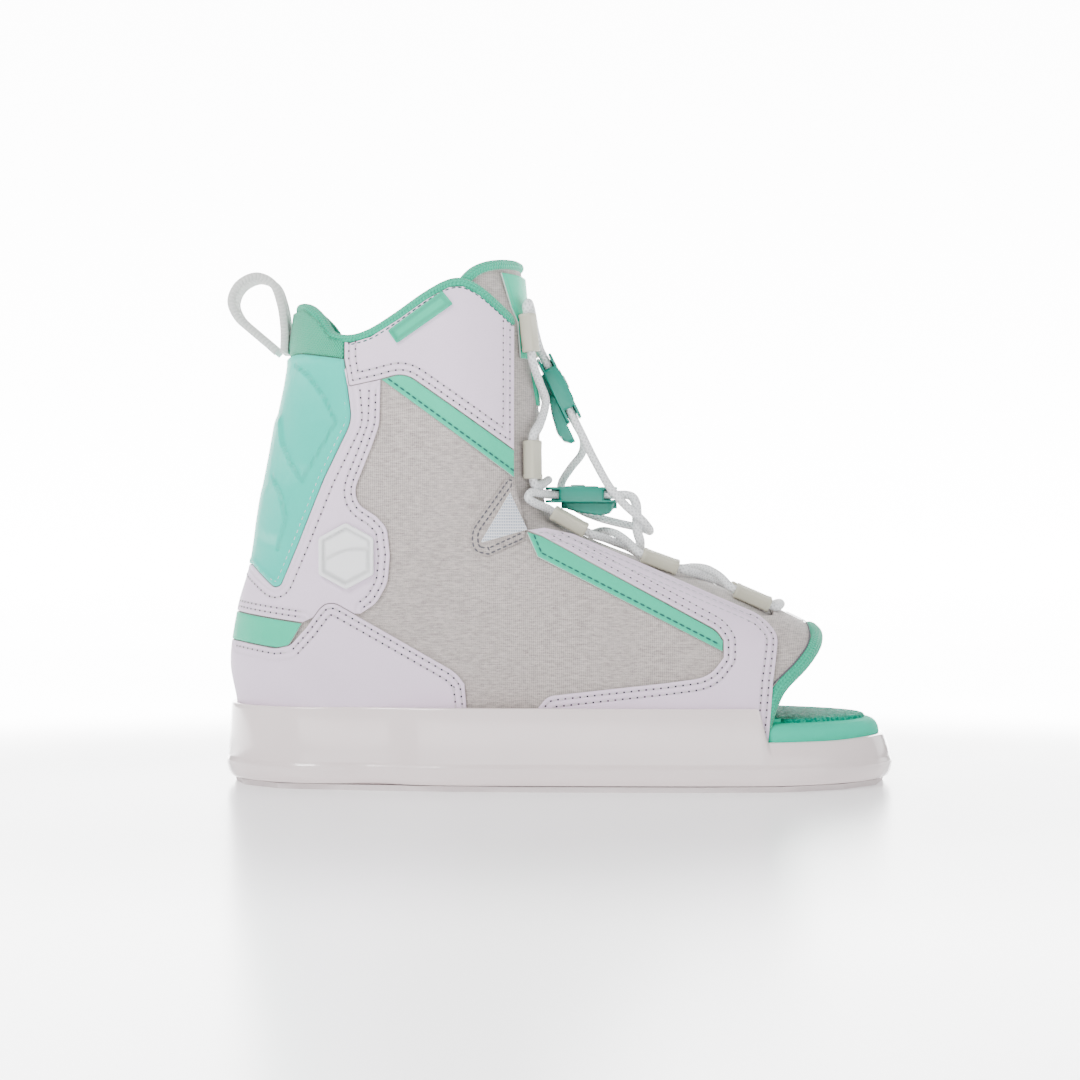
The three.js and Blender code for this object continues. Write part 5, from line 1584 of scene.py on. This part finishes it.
def base_rings():
    """Rings of the wall from the pad up, past its widest place, to the rounded rim."""
    rings = []
    for z, inset in ((2.9, 3.6), (3.0, 2.6), (3.9, 1.7), (5.4, 0.9), (7.2, 0.35), (9.0, 0.05), (10.2, 0.0),
                     (10.9, 0.2), (11.6, 0.6), (12.8, 0.8)):
        rings.append(plan_ring(lambda x, i=inset: np.full(len(x), i), lambda x, z=z: np.full(len(x), z)))
    for t, k in ((0.25, 0.2), (0.5, 0.45), (0.75, 0.72), (0.9, 0.9), (0.965, 1.0)):
        rings.append(plan_ring(lambda x, k=k: 0.8 + (lean(x) - 0.8) * k,
                               lambda x, t=t: 12.8 + (wall_top(x) - 12.8) * t))
    for extra, drop in ((0.12, 0.3), (0.45, 0.06), (0.9, 0.0)):
        rings.append(plan_ring(lambda x, e=extra: lean(x) + e, lambda x, d=drop: wall_top(x) - d))
    return rings


def pocket_edge(x):
    """Breadth of the rim's inner edge: the upper's side behind the step, the footbed's in front of it."""
    upper = np.abs(surface(-place(x, np.full(len(x), 34.0), -1.6), np.full(len(x), 34.0), -1.6)[:, 1])
    tray = base_breadth(x, 6.2)
    k = smooth_step((x - 88.5) / 3)
    inner = upper * (1 - k) + tray * k
    return np.minimum(inner, base_breadth(x, 0.0) - 2.0).clip(0)


rings = base_rings()
for drop, pull in ((0.1, 0.0), (0.5, 0.3), (7.0, 0.4)):
    ring = plan_ring(lambda x, p=pull: lean(x) + 1.5 + p, lambda x, d=drop: wall_top(x) - d)
    outer = plan_ring(lambda x, p=pull: lean(x) + 1.5 + p, lambda x: x * 0)
    inner_y = pocket_edge(ring[:, 0]) - pull
    ring[:, 1] = np.sign(ring[:, 1]) * np.minimum(np.abs(outer[:, 1]), np.maximum(inner_y, 0))
    rings.append(ring)
put("base_shell", *loft(rings, True, True, False), "base", ["base"], "base_plastic", smooth=50)


def footbed_rings():
    """Rings of the toe end of the footbed, from its foot up over its rounded edge to the middle."""
    levels = ((17, 6.1), (20, 6.0), (22.5, 6.0), (25, 6.4), (26.8, 7.3), (28.0, 8.6), (28.7, 10.2),
              (29.0, 12.0))
    rings = []
    share = (1 - np.cos(np.linspace(0, np.pi, 60))) / 2
    for z, inset in levels + ((29.0, 22.0), (29.0, 34.0), (29.0, 48.0)):
        x = 60 + (90 - inset) * share
        y = base_breadth(x, inset) * np.where(x < 92, np.sqrt(np.clip((x - 60) / 32, 0, 1)), 1)
        left = np.stack([x, -y, np.full(len(x), float(z))], 1)
        rings.append(np.concatenate([left, (left * (1, -1, 1))[1:-1][::-1]]))
    return rings


def footbed_floor():
    """The footbed inside the upper, as a sheet rising towards the toe with a hollow for the heel."""
    x = np.linspace(-133, 96, 60)
    v = np.linspace(-1, 1, 21)
    half = cad_half(x, np.full(len(x), 24.0)) - 6.6
    half = np.where(x > 90, np.minimum(half, base_breadth(x, 9)), half).clip(0.5)
    z = 24 + 5 * smooth_step((x - 40) / 50)
    yy = half[:, None] * v[None]
    zz = z[:, None] + 1.8 * np.abs(v[None]) ** 4 - 1.2 * np.exp(-((x[:, None] + 95) / 30) ** 2)
    top = np.stack([np.broadcast_to(x[:, None], yy.shape), yy, zz], -1)
    under = top - (0, 0, 6)
    return np.concatenate([top, under[:, ::-1]], 1)


toe_part = loft(footbed_rings(), True, False, True)
floor_part = loft(footbed_floor(), True, True, True)
floor_part = (floor_part[0], [p[:, ::-1] for p in floor_part[1]], [q[:, ::-1] for q in floor_part[2]])
put("footbed_foam", *gather([toe_part, floor_part]), "foam", ["footbed"], "footbed_foam", smooth=50)


def grip_rings():
    share = (1 - np.cos(np.linspace(0, np.pi, 60))) / 2
    rings = []
    for z, inset in ((29.0, 12.4), (29.9, 12.5), (30.4, 12.9), (30.7, 13.6), (30.8, 15.0), (30.4, 15.9),
                     (30.8, 16.8), (30.9, 24), (31.0, 36), (31.0, 46)):
        x = 84 + (66 - inset) * share
        y = base_breadth(x, inset) * np.sqrt(np.clip((x - 84) / 14, 0, 1))
        left = np.stack([x, -y, np.full(len(x), float(z))], 1)
        rings.append(np.concatenate([left, (left * (1, -1, 1))[1:-1][::-1]]))
    return rings


put("toe_grip_sheet", *loft(grip_rings(), True, False, True), "grip", ["toe_grip"], "grip_foam", smooth=50)
for node, paint in (("bottom_pad", "pad"), ("mounting_plate_rear", "plate"),
                    ("mounting_plate_front", "plate")):
    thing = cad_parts[node]
    for slot in thing.material_slots:
        slot.material = paints[paint]
left_over = [n for n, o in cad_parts.items() if not o.hide_render]
print("base pieces done; CAD nodes still shown", left_over)

# %% [markdown]
# ## Floor and finish

# %%
FLOOR_GLOW, BACKDROP_GLOW = 8.0, 9.6
floor_mesh = bpy.data.meshes.new("floor")
floor_mesh.from_pydata([(-5, -5, 0), (5, -5, 0), (5, 5, 0), (-5, 5, 0)], [], [(0, 1, 2, 3)])
floor = bpy.data.objects.new("floor", floor_mesh)
scene.collection.objects.link(floor)
floor_paint = Paint("floor")
haze = floor_paint.place.noise(0.004, 2.0)
# Painted light: the floor glows. The glow is faint next to the boot, which leaves a painted pool of shade
# round it. It grows with distance and is stronger behind the boot than in front of it.
reach = (floor_paint.x * floor_paint.x * 0.45 + floor_paint.y * floor_paint.y).math("SQRT")
glow = reach.ramp(110.0, 400.0)
behind = floor_paint.y.ramp(-150.0, 250.0) * 0.8 + 0.2
lit = (glow * glow * behind).mix((0.045, 0.045, 0.046, 1), (1, 1, 1, 1))
floor_paint.tree.links.new(lit.socket, floor_paint.shader.inputs["Emission Color"])
floor_mesh.materials.append(floor_paint.finish(
    haze.mix(linear(246, 246, 247), linear(250, 250, 250)), haze * 0.1 + 0.2, haze * 0.0,
    Emission_Strength=FLOOR_GLOW))
wall_mesh = bpy.data.meshes.new("backdrop")
wall_mesh.from_pydata([(-3, 4.9, -1), (3, 4.9, -1), (3, 4.9, 2.6), (-3, 4.9, 2.6)], [], [(0, 1, 2, 3)])
wall = bpy.data.objects.new("backdrop", wall_mesh)
scene.collection.objects.link(wall)
wall_paint = Paint("backdrop")
veil = wall_paint.place.noise(0.0004, 1.0)
wall_material = wall_paint.finish(veil.mix(linear(250, 250, 250), linear(254, 254, 254)), veil * 0.1 + 0.8,
                                  veil * 0.0, Emission_Strength=BACKDROP_GLOW)
wall_paint.shader.inputs["Emission Color"].default_value = (1, 1, 1, 1)
wall_mesh.materials.append(wall_material)
